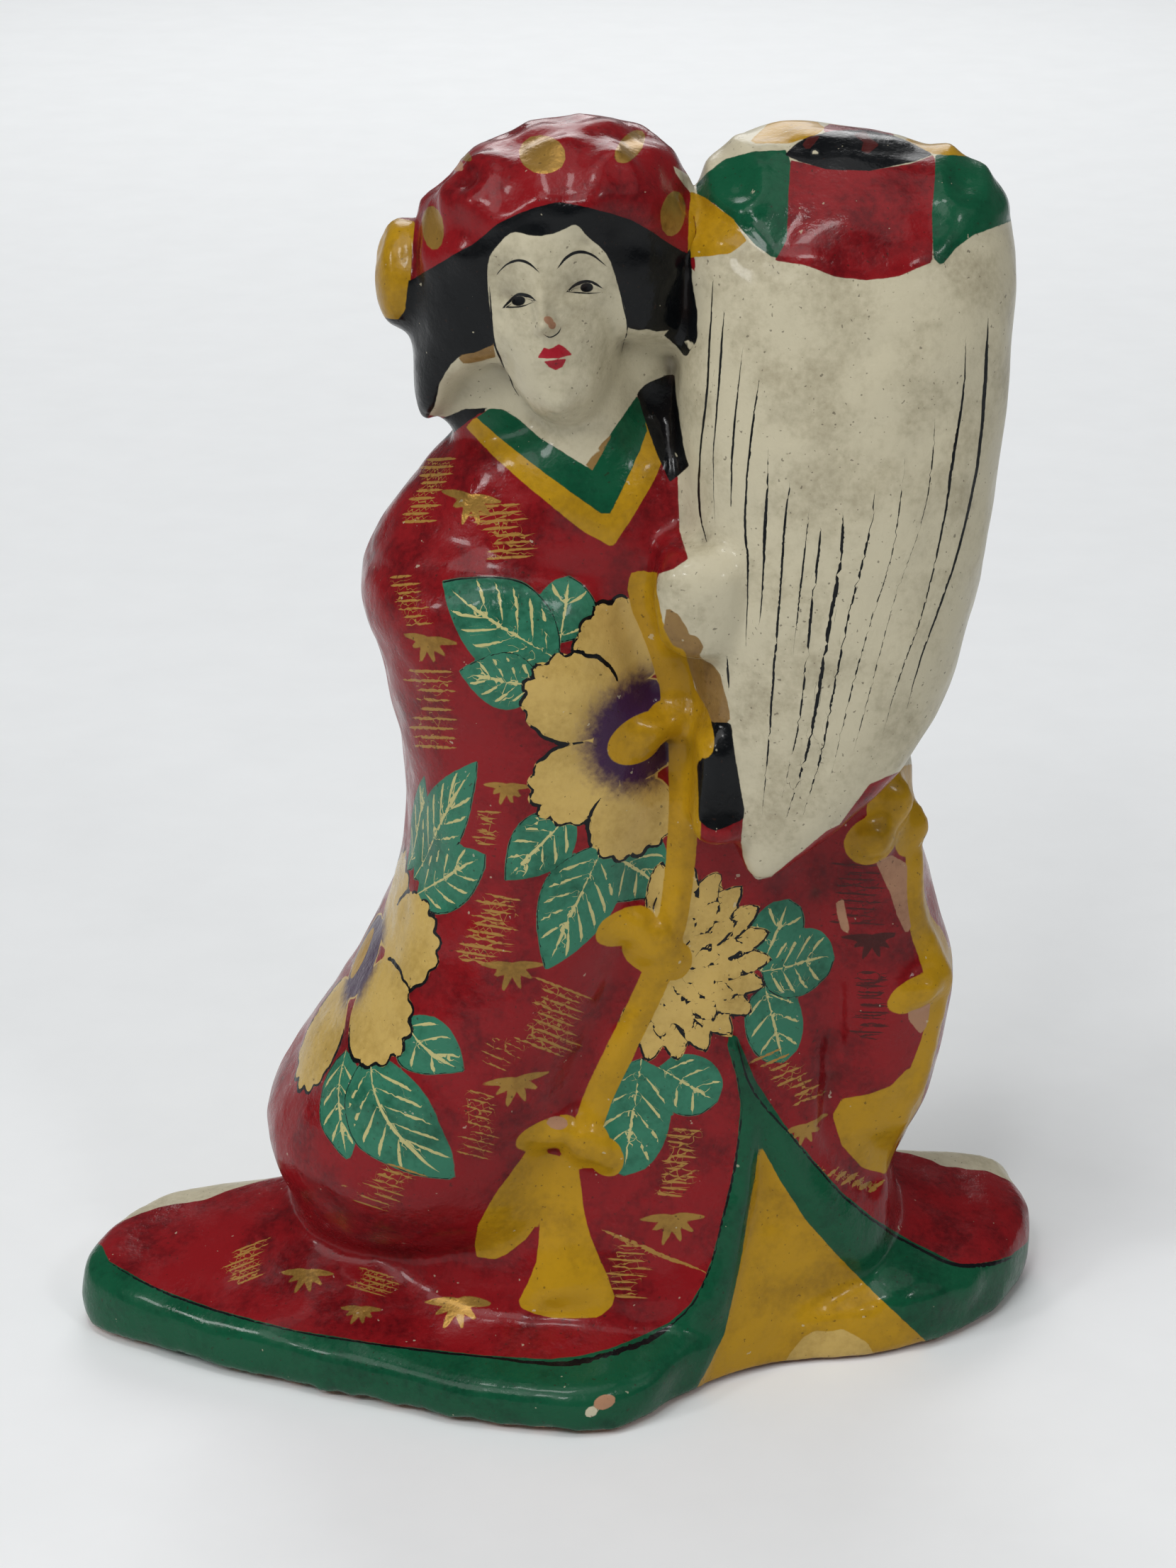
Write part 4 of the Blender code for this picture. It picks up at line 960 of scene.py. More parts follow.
def depth_inside(points, outline):
    """How far each point lies inside an outline, negative outside it."""
    corners = np.array(outline, float)
    inside = np.zeros(len(points), bool)
    for a, b in zip(corners, np.roll(corners, -1, axis=0)):
        spans = (a[1] > points[:, 1]) != (b[1] > points[:, 1])
        rise = b[1] - a[1] if b[1] != a[1] else 1
        crossing = a[0] + (points[:, 1] - a[1]) * (b[0] - a[0]) / rise
        inside ^= spans & (points[:, 0] < crossing)
    rim = [(*corner, 1) for corner in (*outline, outline[0])]
    return np.where(inside, 1, -1) * widths_away(points, rim)


def eased(t):
    """A smooth step from 0 to 1."""
    t = np.clip(t, 0, 1)
    return t * t * (3 - 2 * t)


def dome(r):
    """A smooth rise from 0 at r = 1 to 1 at r = 0."""
    return (1 - np.clip(r, 0, 1) ** 2) ** 2


def lumps(points, size):
    """The unevenness that fingers leave on clay, between about -1 and 1."""
    return np.array([noise.noise(Vector(point) / size + LUMPS_START) for point in points])


def vertices_of(skin):
    """The places, in metres, and the normals of a mesh's vertices."""
    count = len(skin.vertices)
    points, normals = np.empty(count * 3, np.float32), np.empty(count * 3, np.float32)
    skin.vertices.foreach_get("co", points)
    skin.vertex_normals.foreach_get("vector", normals)
    return points.reshape(-1, 3), normals.reshape(-1, 3)


def spread_of(skin):
    """The places, in shares, and the normals of a mesh's vertices."""
    points, normals = vertices_of(skin)
    return points.astype(float) / SHARE, normals.astype(float)


def carving(points, normals):
    """How far the finer relief lifts each point of the clay along its normal, in shares."""
    flat = points[:, [0, 2]]
    front = eased((FRONT_FROM - normals[:, 1]) / FRONT_FADE)
    lift = np.zeros(len(points))
    for rise, edge, outline in FIELDS:
        lift += front * rise * eased(depth_inside(flat, outline) / edge + 0.5)
    for rise, line in CREASES:
        lift += front * rise * dome(widths_away(flat, open_curve(line)))
    for centre, radius, rise in SWELLINGS:
        lift += rise * dome(np.linalg.norm(points - np.array(centre), axis=1) / radius)
    for x, z, radius, half_width, rise in RINGS:
        away = np.abs(np.hypot(flat[:, 0] - x, flat[:, 1] - z) - radius)
        lift += front * rise * dome(away / half_width)
    for size, rise in LUMPS:
        lift += rise * lumps(points, size)
    peak = CAP_PEAK_SLOPE * np.maximum(0, CAP_PEAK - np.abs(points[:, 0] - CAP_MIDDLE))
    cap = eased((points[:, 2] - CAP_RIM - peak) / CAP_FADE)
    cap *= points[:, 0] < CAP_RIGHT
    lift += CAP_LUMPS[1] * cap * lumps(points, CAP_LUMPS[0])
    turn = np.array(face_place().inverted())
    on_face = points @ turn[:3, :3].T + turn[:3, 3]
    for x, z, half_width, half_height, rise in FACE_SWELLINGS:
        away = np.hypot((on_face[:, 0] - x) / half_width, (on_face[:, 2] - z) / half_height)
        lift += front * (on_face[:, 1] < FACE_FRONT) * rise * dome(away)
    return lift


def carved(skin):
    """The skin with its finer relief."""
    points, normals = vertices_of(skin)
    points = points / SHARE
    points = points + normals * carving(points, normals)[:, None]
    skin.vertices.foreach_set("co", (points * SHARE).ravel())
    return skin


def photo_places(points):
    """Where the camera of the photograph sees each point, in its pixels."""
    away = points - np.array(CAMERA_PLACE)
    depth = -(away @ np.array(CAMERA_BACK))
    across = PHOTO_WIDTH / 2 + FOCUS * away[:, 0] / depth
    down = PHOTO_HEIGHT / 2 - FOCUS * (away @ np.array(CAMERA_UP)) / depth
    return np.stack((across, down), -1)


def on_clay(clay, pixel):
    """The point of the clay that a pixel of the photograph shows."""
    across = (pixel[0] - PHOTO_WIDTH / 2) / FOCUS
    up = (PHOTO_HEIGHT / 2 - pixel[1]) / FOCUS
    way = (Vector((across, 0, 0)) + up * CAMERA_UP - CAMERA_BACK).normalized()
    hit = clay.ray_cast(CAMERA_PLACE, way)[0]
    return hit or clay.find_nearest(CAMERA_PLACE + CAMERA_AWAY * way)[0]


class Side:
    """A direction from which a motif is painted, square on to the clay."""

    def __init__(self, turn, rise):
        a, e = math.radians(turn), math.radians(rise)
        self.towards = np.array((math.sin(a) * math.cos(e), -math.cos(a) * math.cos(e), math.sin(e)))
        self.across = np.array((math.cos(a), math.sin(a), 0))
        self.up = np.cross(self.towards, self.across)

    def flat(self, points):
        """The points as the side sees them, in shares to the right and up."""
        return np.stack((points @ self.across, points @ self.up), -1)


class Painting:
    """Paint laid in order on the points of the clay, where a later coat covers an earlier one.

    A coat is the depth of each point inside what it covers, in shares. A line is how far each
    point lies to the left or right of it, and half its width there.
    """

    def __init__(self, points, normals, clay):
        self.points, self.normals, self.clay = points, normals, clay
        self.pixels = photo_places(points)
        look = np.array(CAMERA_PLACE) - points
        look /= np.linalg.norm(look, axis=1)[:, None]
        self.seen = (look * normals).sum(1) > SEEN_FROM
        self.sides = {name: Side(*turns) for name, turns in SIDE_TURNS.items()}
        count = len(points)
        self.coats = {paint: np.full(count, -DEEP) for paint in PAINTS}
        self.coats["red"][:] = DEEP
        self.away = {pen: np.full(count, DEEP) for pen in PENS}
        self.half = {pen: np.full(count, -1.0) for pen in PENS}
        self.stain = np.zeros(count)

    def lay(self, paint, depth):
        """Paints what lies inside, over the coats and lines that are there."""
        depth = np.clip(depth, -DEEP, DEEP)
        for name, coat in self.coats.items():
            if name != paint:
                np.minimum(coat, -depth, out=coat)
        for half in self.half.values():
            np.minimum(half, -depth, out=half)
        np.maximum(self.coats[paint], depth, out=self.coats[paint])

    def fill(self, paint, outline, side=None):
        """Fills an outline of pixels of the photograph, or of a side's own flat places."""
        places, scale = (self.pixels, PIXELS) if side is None else (self.flat(side), 1)
        known = self.seen if side is None else self.covered(side)
        corners = np.array(outline, float)
        near = known & (places > corners.min(0) - DEEP * scale).all(1)
        near &= (places < corners.max(0) + DEEP * scale).all(1)
        depth = np.full(len(places), -DEEP)
        depth[near] = depth_inside(places[near], corners) / scale
        self.lay(paint, depth)

    def flat(self, side):
        """All points of the clay as a side sees them."""
        return self.sides[side].flat(self.points)

    def covered(self, side):
        """The points whose clay faces the side."""
        return self.normals @ self.sides[side].towards > SIDE_FROM

    def place(self, side, pixel):
        """The flat place on a side of what a pixel of the photograph shows."""
        return Vector(self.sides[side].flat(np.array(on_clay(self.clay, pixel))))

    def stroke(self, pen, rows, side):
        """Draws a brush line through flat places of a side, each with half its width."""
        places, facing = self.flat(side), self.covered(side)
        line = np.array([tuple(row) for row in open_curve(rows)])
        away, half = self.away[pen], self.half[pen]
        near = facing & (places > line[:, :2].min(0) - DEEP).all(1)
        near = np.flatnonzero(near & (places < line[:, :2].max(0) + DEEP).all(1))
        points = places[near]
        best, width = np.full(len(near), DEEP), np.zeros(len(near))
        for a, b in zip(line, line[1:]):
            run = b[:2] - a[:2]
            t = np.clip((points - a[:2]) @ run / max(run @ run, TINY), 0, 1)
            off = points - a[:2] - t[:, None] * run
            turn = np.sign(run[0] * off[:, 1] - run[1] * off[:, 0])
            reach = np.hypot(off[:, 0], off[:, 1])
            closer = reach < np.abs(best)
            best[closer] = (turn * reach)[closer]
            width[closer] = (a[2] + t * (b[2] - a[2]))[closer]
        closer = np.abs(best) < np.abs(away[near])
        away[near[closer]] = best[closer]
        half[near[closer]] = width[closer]

    def traced(self, pen, rows, side):
        """Draws a brush line through pixels of the photograph."""
        self.stroke(pen, [(*self.place(side, row[:2]), row[2]) for row in rows], side)


def oval(x, y, half_width, half_height, turn):
    """A small round outline."""
    a = math.radians(turn)
    spokes = [math.tau * k / SPOT_CORNERS for k in range(SPOT_CORNERS)]
    return [
        (
            x + half_width * math.cos(s) * math.cos(a) - half_height * math.sin(s) * math.sin(a),
            y + half_width * math.cos(s) * math.sin(a) + half_height * math.sin(s) * math.cos(a),
        )
        for s in spokes
    ]


def blade_width(u, roundness):
    """Half the width of a blade at a share of its length, from its stalk to its tip."""
    pointed = math.sin(math.pi * u ** BLADE_WIDEST) ** BLADE_FULLNESS
    rounded = math.sqrt(max(0, 1 - (2 * u - 1) ** 2))
    return (1 - roundness) * pointed + roundness * rounded


def blade(stalk, tip, half_width, roundness):
    """The two edges of a blade, from the stalk to the tip."""
    along = tip - stalk
    across = Vector((-along.y, along.x)).normalized() * half_width
    steps = [k / BLADE_STEPS for k in range(BLADE_STEPS + 1)]
    return [
        [stalk + u * along + way * blade_width(u, roundness) * across for u in steps]
        for way in (1, -1)
    ]


def paint_leaf(painting, side, stalk, tip, half_width, pairs, roundness):
    """A green blade with a thin dark edge, a midrib and pairs of cream veins."""
    stalk, tip = painting.place(side, stalk), painting.place(side, tip)
    left, right = blade(stalk, tip, half_width, roundness)
    painting.fill("leaf", [*left, *right[::-1]], side)
    painting.stroke("ink", [(*p, LEAF_RIM) for p in right], side)
    along = tip - stalk
    across = Vector((-along.y, along.x)).normalized() * half_width
    painting.stroke("cream", [(*(stalk + u * along), half) for u, half in LEAF_RIB], side)
    for k in range(pairs):
        start = VEINS_FROM + VEINS_OVER * k / max(1, pairs - 1)
        for way in (1, -1):
            end = start + VEIN_RUN + VEIN_SHIFT * way
            reach = way * VEIN_REACH * blade_width(end, roundness)
            vein = [
                (*(stalk + (start + t * (end - start)) * along + bow * reach * across), half)
                for t, bow, half in LEAF_VEIN
            ]
            painting.stroke("cream", vein, side)


def paint_petal(painting, side, middle, half_length, half_width, heart):
    """A broad petal with a scalloped end, and a black line round it."""
    middle, heart = painting.place(side, middle), painting.place(side, heart)
    out = (middle - heart).normalized()
    across = Vector((-out.y, out.x))
    edge = []
    for k in range(PETAL_STEPS):
        turn = math.tau * (k / PETAL_STEPS - 0.5)
        end = max(0, math.cos(turn) + PETAL_END) / PETAL_END_SPAN
        scallop = 1 + PETAL_SCALLOP * (abs(math.sin(SCALLOPS * turn)) - 0.5) * end
        edge.append(
            middle + scallop * (
                half_length * math.cos(turn) * out + half_width * math.sin(turn) * across
            )
        )
    painting.fill("petal", edge, side)
    rim = [
        (*p, PETAL_LINE + PETAL_LINE * abs(math.sin(PETAL_LINE_WAVE * k)))
        for k, p in enumerate(edge[PETAL_BARE:PETAL_STEPS - PETAL_BARE])
    ]
    painting.stroke("ink", rim, side)


def paint_daisy(painting, side, heart, rings, spread):
    """Rings of pointed petals, the inner over the outer, each edged with a black line."""
    heart = painting.place(side, heart)
    for radius, count in rings:
        step = (spread[1] - spread[0]) / count
        for k in range(count):
            turn = math.radians(spread[0] + step * (k + 0.5))
            out = Vector((math.cos(turn), math.sin(turn)))
            edges = blade(
                heart + DAISY_START * radius * out, heart + radius * out,
                DAISY_WIDTH + DAISY_WIDENING * radius, DAISY_ROUNDNESS,
            )
            painting.fill("petal", [*edges[0], *edges[1][::-1]], side)
            for edge, half in zip(edges, DAISY_LINES):
                painting.stroke("ink", [(*p, half) for p in edge[DAISY_BARE:]], side)


def paint_maple(painting, paint, side, middle, reach):
    """A fan of narrow lobes that hang from one point."""
    middle = painting.place(side, middle)
    for turn, length in MAPLE_LOBES:
        out = Vector((math.cos(math.radians(turn)), math.sin(math.radians(turn))))
        left, right = blade(
            middle - MAPLE_START * reach * out, middle + length * reach * out,
            MAPLE_WIDTH * reach, 0,
        )
        painting.fill(paint, [*left, *right[::-1]], side)


def paint_mist(painting, pen, side, middle, width, rows, step, slope, drift, half, chance):
    """Short brush lines, one below the other, as level as the photograph shows them."""
    along = Vector((math.cos(math.radians(slope)), -math.sin(math.radians(slope)))) * PIXELS
    down = Vector((-along.y, along.x))
    for k in range(rows):
        length = width * chance.uniform(MIST_SHORTEST, 1)
        level = k - (rows - 1) / 2
        start = Vector(middle) + level * (step * down - drift * along) - along * length / 2
        start += along * width * chance.uniform(-MIST_SHIFT, MIST_SHIFT)
        line = [(*(start + u * length * along), half * share) for u, share in MIST_LINE]
        painting.traced(pen, line, side)


def paint_robe(painting):
    """The flowers, leaves and gold of the robe."""
    chance = random.Random(MIST_SEED)
    for leaf in LEAVES:
        paint_leaf(painting, *leaf)
    for side, heart, reach in STAINS:
        painting.fill("petal", oval(*painting.place(side, heart), reach, reach, 0), side)
    for petal in PETALS:
        paint_petal(painting, *petal)
    for side, heart, reach in STAINS:
        away = painting.flat(side) - np.array(painting.place(side, heart))
        near = painting.covered(side) * (STAIN_REACH - np.hypot(away[:, 0], away[:, 1]) / reach)
        np.maximum(painting.stain, near, out=painting.stain)
    for side, heart, half_width, half_height in FLOWER_HEARTS:
        painting.fill("yellow", oval(*painting.place(side, heart), half_width, half_height, 0), side)
    paint_daisy(painting, *DAISY)
    for maple in MAPLES:
        paint_maple(painting, "gold", *maple)
    # The dark brown maple and mists are painted shade on gold that lies in shadow
    for maple in SHADE_PAINTED_MAPLES:
        paint_maple(painting, "umber_and_shade", *maple)
    for mist in MISTS:
        paint_mist(painting, "gilt", *mist, chance)
    for mist in SHADE_PAINTED_MISTS:
        paint_mist(painting, "painted_shade_line", *mist, chance)
    painting.traced("gilt", LONG_MIST, "front")


def paint_raised(painting):
    """The cords, knots and tassels, painted where the clay stands up."""
    flat = painting.points[:, [0, 2]]
    forward = painting.normals[:, 1] < CORD_FROM
    front = np.where(painting.seen | forward, 0, -FAR_OFF)
    for rows in (NEAR_CORD, FAR_CORD):
        half = np.mean([row[2] for row in rows])
        painting.lay("yellow", half * (CORD_PAINT - widths_away(flat, open_curve(rows))) + front)
    for outline in TASSELS:
        painting.fill("yellow", outline)
    for x, z, half_width, half_height, rise, turn in KNOTS:
        a = math.radians(turn)
        off = flat - np.array((x, z))
        u = (off[:, 0] * math.cos(a) + off[:, 1] * math.sin(a)) / half_width
        v = (off[:, 1] * math.cos(a) - off[:, 0] * math.sin(a)) / half_height
        depth = (KNOT_PAINT - np.hypot(u, v)) * min(half_width, half_height)
        painting.lay("yellow", depth + front)


def paint_hidden(painting):
    """The sides and the back, which the photograph doesn't show: plainer, and mostly bare white."""
    x, y, z = painting.points.T
    hidden = np.where(painting.seen, -FAR_OFF, 0)
    ragged = sum(rise * lumps(painting.points, size) for rise, size in RAGGED)
    border = BACK_BORDER + BACK_SLANT * x
    left, foot = HEADPIECE_BACK
    painting.lay("white", np.minimum(x - left, z - foot) + hidden)
    painting.lay("green", np.minimum(HEM * HEM_PAINT - z, HEM_BACK - y) + hidden)
    facing_back = BACK_TURN * (painting.normals[:, 1] - BACK_TURN_FROM)
    back = np.minimum(facing_back, y - BACK_WHITE)
    painting.lay("white", np.maximum(y - border - ragged, back))
    foot, right = HEAD_BACK
    head = np.minimum(z - foot - ragged, right - x)
    painting.lay("black", np.minimum(head, HAIR_FADE * (y + HAIR_DEPTH)) + hidden)
    depth, foot, left, right = HAIR_TAIL
    painting.lay(
        "black", np.minimum.reduce((y - depth, z - foot - 2 * ragged, x - left, right - x))
    )
    painting.lay("red", np.minimum(z - CAP_BACK + CAP_SLANT * x, CAP_BACK_RIGHT - x) + hidden)
    right, foot, top = PIN_BACK
    painting.lay("yellow", np.minimum.reduce((right - x, z - foot, top - z)) + hidden)
    under = np.where(z < BARE_HEIGHT, 0, -FAR_OFF)
    painting.lay("bare", -painting.normals[:, 2] * BARE_TURN - BARE_FROM + under)


def painted(points, normals, clay):
    """The whole painting, from the ground to the last chips."""
    painting = Painting(points, normals, clay)
    paint_robe(painting)
    for paint, outline in ROBE_COATS:
        painting.fill(paint, outline)
    paint_hidden(painting)
    for paint, outline in (*HEADPIECE_COATS, *HEAD_COATS):
        painting.fill(paint, outline)
    paint_raised(painting)
    for line in HEM_LINES:
        painting.traced("ink", line, "hem")
    for line in (*HAIR_LINES, *FACE_LINES):
        painting.traced("ink", line, "front")
    for pupil in PUPILS:
        painting.fill("black", oval(*pupil))
    for outline in LIPS:
        painting.fill("lip", outline)
    for paint, *spot in SPOTS:
        painting.fill(paint, oval(*spot))
    for pen, half in painting.half.items():
        half[np.abs(painting.away[pen]) > LINE_REACH] = -1
    return painting


def footed(skin):
    """The skin with its outer shell alone, cut flat underneath."""
    bm = bmesh.new()
    bm.from_mesh(skin)
    outer_skin(bm)
    cut = bmesh.ops.bisect_plane(
        bm, geom=[*bm.verts, *bm.edges, *bm.faces], plane_co=(0, 0, FOOT_CUT * SHARE),
        plane_no=(0, 0, 1), clear_inner=True,
    )
    rim = [item for item in cut["geom_cut"] if isinstance(item, bmesh.types.BMEdge)]
    bmesh.ops.holes_fill(bm, edges=rim, sides=0)
    bmesh.ops.triangulate(bm, faces=bm.faces)
    bm.to_mesh(skin)
    bm.free()
    return skin


def thinned(skin, keep):
    """The skin with fewer triangles where nothing fine is painted: at the back and underneath."""
    points, normals = spread_of(skin)
    plain = (normals[:, 1] > BACK_FROM) | (points[:, 2] < UNDERSIDE)
    heavy = bpy.data.objects.new("heavy", skin)
    bpy.context.scene.collection.objects.link(heavy)
    group = heavy.vertex_groups.new(name="plain")
    group.add([int(k) for k in np.flatnonzero(plain)], 1, "REPLACE")
    thin = heavy.modifiers.new("thin", "DECIMATE")
    thin.vertex_group = "plain"
    thin.ratio = 1 - plain.mean() * (1 - keep)
    light = bpy.data.meshes.new_from_object(
        heavy.evaluated_get(bpy.context.evaluated_depsgraph_get())
    )
    bpy.data.objects.remove(heavy)
    return light


def refined(skin, chosen):
    """The skin with its edges halved between the chosen vertices, and smoothed there."""
    bm = bmesh.new()
    bm.from_mesh(skin)
    bm.verts.ensure_lookup_table()
    marked = {bm.verts[int(k)] for k in np.flatnonzero(chosen)}
    edges = [e for e in bm.edges if e.verts[0] in marked or e.verts[1] in marked]
    old = set(bm.verts)
    bmesh.ops.subdivide_edges(bm, edges=edges, cuts=1, use_grid_fill=True)
    bmesh.ops.triangulate(bm, faces=bm.faces)
    fresh = [v for v in bm.verts if v not in old or v in marked]
    for _ in range(FINE_STROKES):
        bmesh.ops.smooth_vert(
            bm, verts=fresh, factor=0.5, use_axis_x=True, use_axis_y=True, use_axis_z=True
        )
    bm.to_mesh(skin)
    bm.free()
    return skin


def within(points, x, z, half_width, half_height, y):
    """Which points lie in an oval on the front, in front of a depth."""
    away = np.hypot((points[:, 0] - x) / half_width, (points[:, 2] - z) / half_height)
    return (away < 1) & (points[:, 1] < y)


def cast_doll(grain, strokes):
    """The fine casting, and its painting at each point."""
    masses = gathered(figure_masses())
    clay = BVHTree.FromBMesh(masses)
    masses_mesh = bpy.data.meshes.new("masses")
    masses.to_mesh(masses_mesh)
    masses.free()
    whole = gathered(small_forms(clay))
    whole.from_mesh(masses_mesh)
    bpy.data.meshes.remove(masses_mesh)
    skin = footed(carved(fused(whole, grain, strokes)))
    whole.free()
    skin = thinned(skin, KEEP_AT_BACK)
    points, normals = spread_of(skin)
    shell = BVHTree.FromPolygons(
        [Vector(p) for p in points], [tuple(p.vertices) for p in skin.polygons]
    )
    first = painted(points, normals, shell)
    chosen = np.zeros(len(points), bool)
    for pen in PENS:
        chosen |= (np.abs(first.away[pen]) < FINE_NEAR) & (first.half[pen] > 0)
    for paint in FINE_PAINTS:
        chosen |= np.abs(first.coats[paint]) < FINE_NEAR
    skin = refined(skin, chosen | within(points, *FACE_OVAL))
    skin = refined(skin, within(spread_of(skin)[0], *EYES_OVAL))
    return skin, painted(*spread_of(skin), shell)


def hollows(skin):
    """How hollow the clay is at each point: 1 in a sharp crease, below 0 on a ridge."""
    points, normals = spread_of(skin)
    ends = np.empty(2 * len(skin.edges), np.int32)
    skin.edges.foreach_get("vertices", ends)
    a, b = ends.reshape(-1, 2).T
    count = np.bincount(a, minlength=len(points)) + np.bincount(b, minlength=len(points))

    def around(values):
        total = np.bincount(a, values[b], len(points)) + np.bincount(b, values[a], len(points))
        return total / count

    middle = np.stack([around(points[:, i]) for i in range(3)], -1)
    length = np.hypot.reduce(points[a] - points[b], axis=1)
    spacing = (np.bincount(a, length, len(points)) + np.bincount(b, length, len(points))) / count
    bend = ((middle - points) * normals).sum(1) / spacing ** 2 * HOLLOW_RADIUS
    for _ in range(HOLLOW_BLURS):
        bend = around(bend)
    return np.clip(bend, -1, 1)


def write(skin, name, values):
    """One value, or three, for each vertex of a mesh."""
    kind, key = ("FLOAT", "value") if values.ndim == 1 else ("FLOAT_VECTOR", "vector")
    data = skin.attributes.new(name, kind, "POINT").data
    data.foreach_set(key, values.astype(np.float32).ravel())


def set_attributes(skin, painting):
    """The painting as attributes that the lacquer reads."""
    for paint, coat in painting.coats.items():
        write(skin, paint, coat)
    write(skin, "stain", painting.stain)
    # How hollow the clay is, which the lacquer turns into painted shade in the creases
    write(skin, "hollow", hollows(skin))
    for pen in PENS:
        away, half = painting.away[pen], painting.half[pen]
        apart = np.sign(away) * LINES_APART * np.maximum(0, np.abs(away) - half - LINE_EDGE)
        write(skin, pen, np.stack((away + apart, half, np.zeros(len(half))), -1))


def drawn_in(skin):
    """The casting, shrunk by the hair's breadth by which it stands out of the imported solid's box."""
    low, high = (np.array(corner) for corner in (LOW, HIGH))
    points = spread_of(skin)[0] * SHARE
    middle = (low + high) / 2
    reach = np.maximum(points.max(0) - middle, middle - points.min(0))
    skin.transform(
        Matrix.Translation(Vector(middle))
        @ Matrix.Diagonal((*np.minimum(1, (high - low) / 2 / reach), 1))
        @ Matrix.Translation(Vector(-middle))
    )


def linear(code):
    """A linear colour from an sRGB hex code."""
    levels = [int(code[k:k + 2], 16) / 255 for k in (0, 2, 4)]
    return tuple(c / 12.92 if c <= 0.04045 else ((c + 0.055) / 1.055) ** 2.4 for c in levels)


def add(tree, kind, settings=None, inputs=None):
    """Adds a node with its settings, and joins or sets its inputs."""
    node = tree.nodes.new(kind)
    for name, value in (settings or {}).items():
        setattr(node, name, value)
    for name, value in (inputs or {}).items():
        if isinstance(value, bpy.types.NodeSocket):
            tree.links.new(value, node.inputs[name])
        else:
            node.inputs[name].default_value = value
    return node


def stepped(tree, value, start, end):
    """0 before the start, 1 after the end, and smooth between them."""
    node = add(
        tree, "ShaderNodeMapRange", {"interpolation_type": "SMOOTHSTEP"},
        {"Value": value, "From Min": start, "From Max": end},
    )
    return node.outputs["Result"]


def worked(tree, operation, *values):
    """A sum, product or other operation on values."""
    node = add(tree, "ShaderNodeMath", {"operation": operation}, dict(enumerate(values)))
    return node.outputs[0]


def mixed(tree, share, under, over, blend="MIX"):
    """One colour laid over another."""
    node = add(
        tree, "ShaderNodeMix", {"data_type": "RGBA", "blend_type": blend, "clamp_factor": True},
        {MIX_SHARE: share, MIX_UNDER: under, MIX_OVER: over},
    )
    return node.outputs[MIX_RESULT]


def clouded(tree, place, size, detail, seed=0.0):
    """Noise whose lumps are about as many millimetres across as the size."""
    shifted = add(tree, "ShaderNodeMapping", {}, {"Vector": place, "Location": (seed, 0, 0)})
    texture = add(
        tree, "ShaderNodeTexNoise", {},
        {"Vector": shifted.outputs[0], "Scale": 1000 / size, "Detail": detail, "Roughness": 0.6},
    )
    return texture.outputs[0]


def read(tree, name, kind="Fac"):
    """An attribute of the mesh."""
    return add(tree, "ShaderNodeAttribute", {"attribute_name": name}).outputs[kind]


def opaque(colour):
    """The colour with its alpha."""
    return (*colour, 1.0)


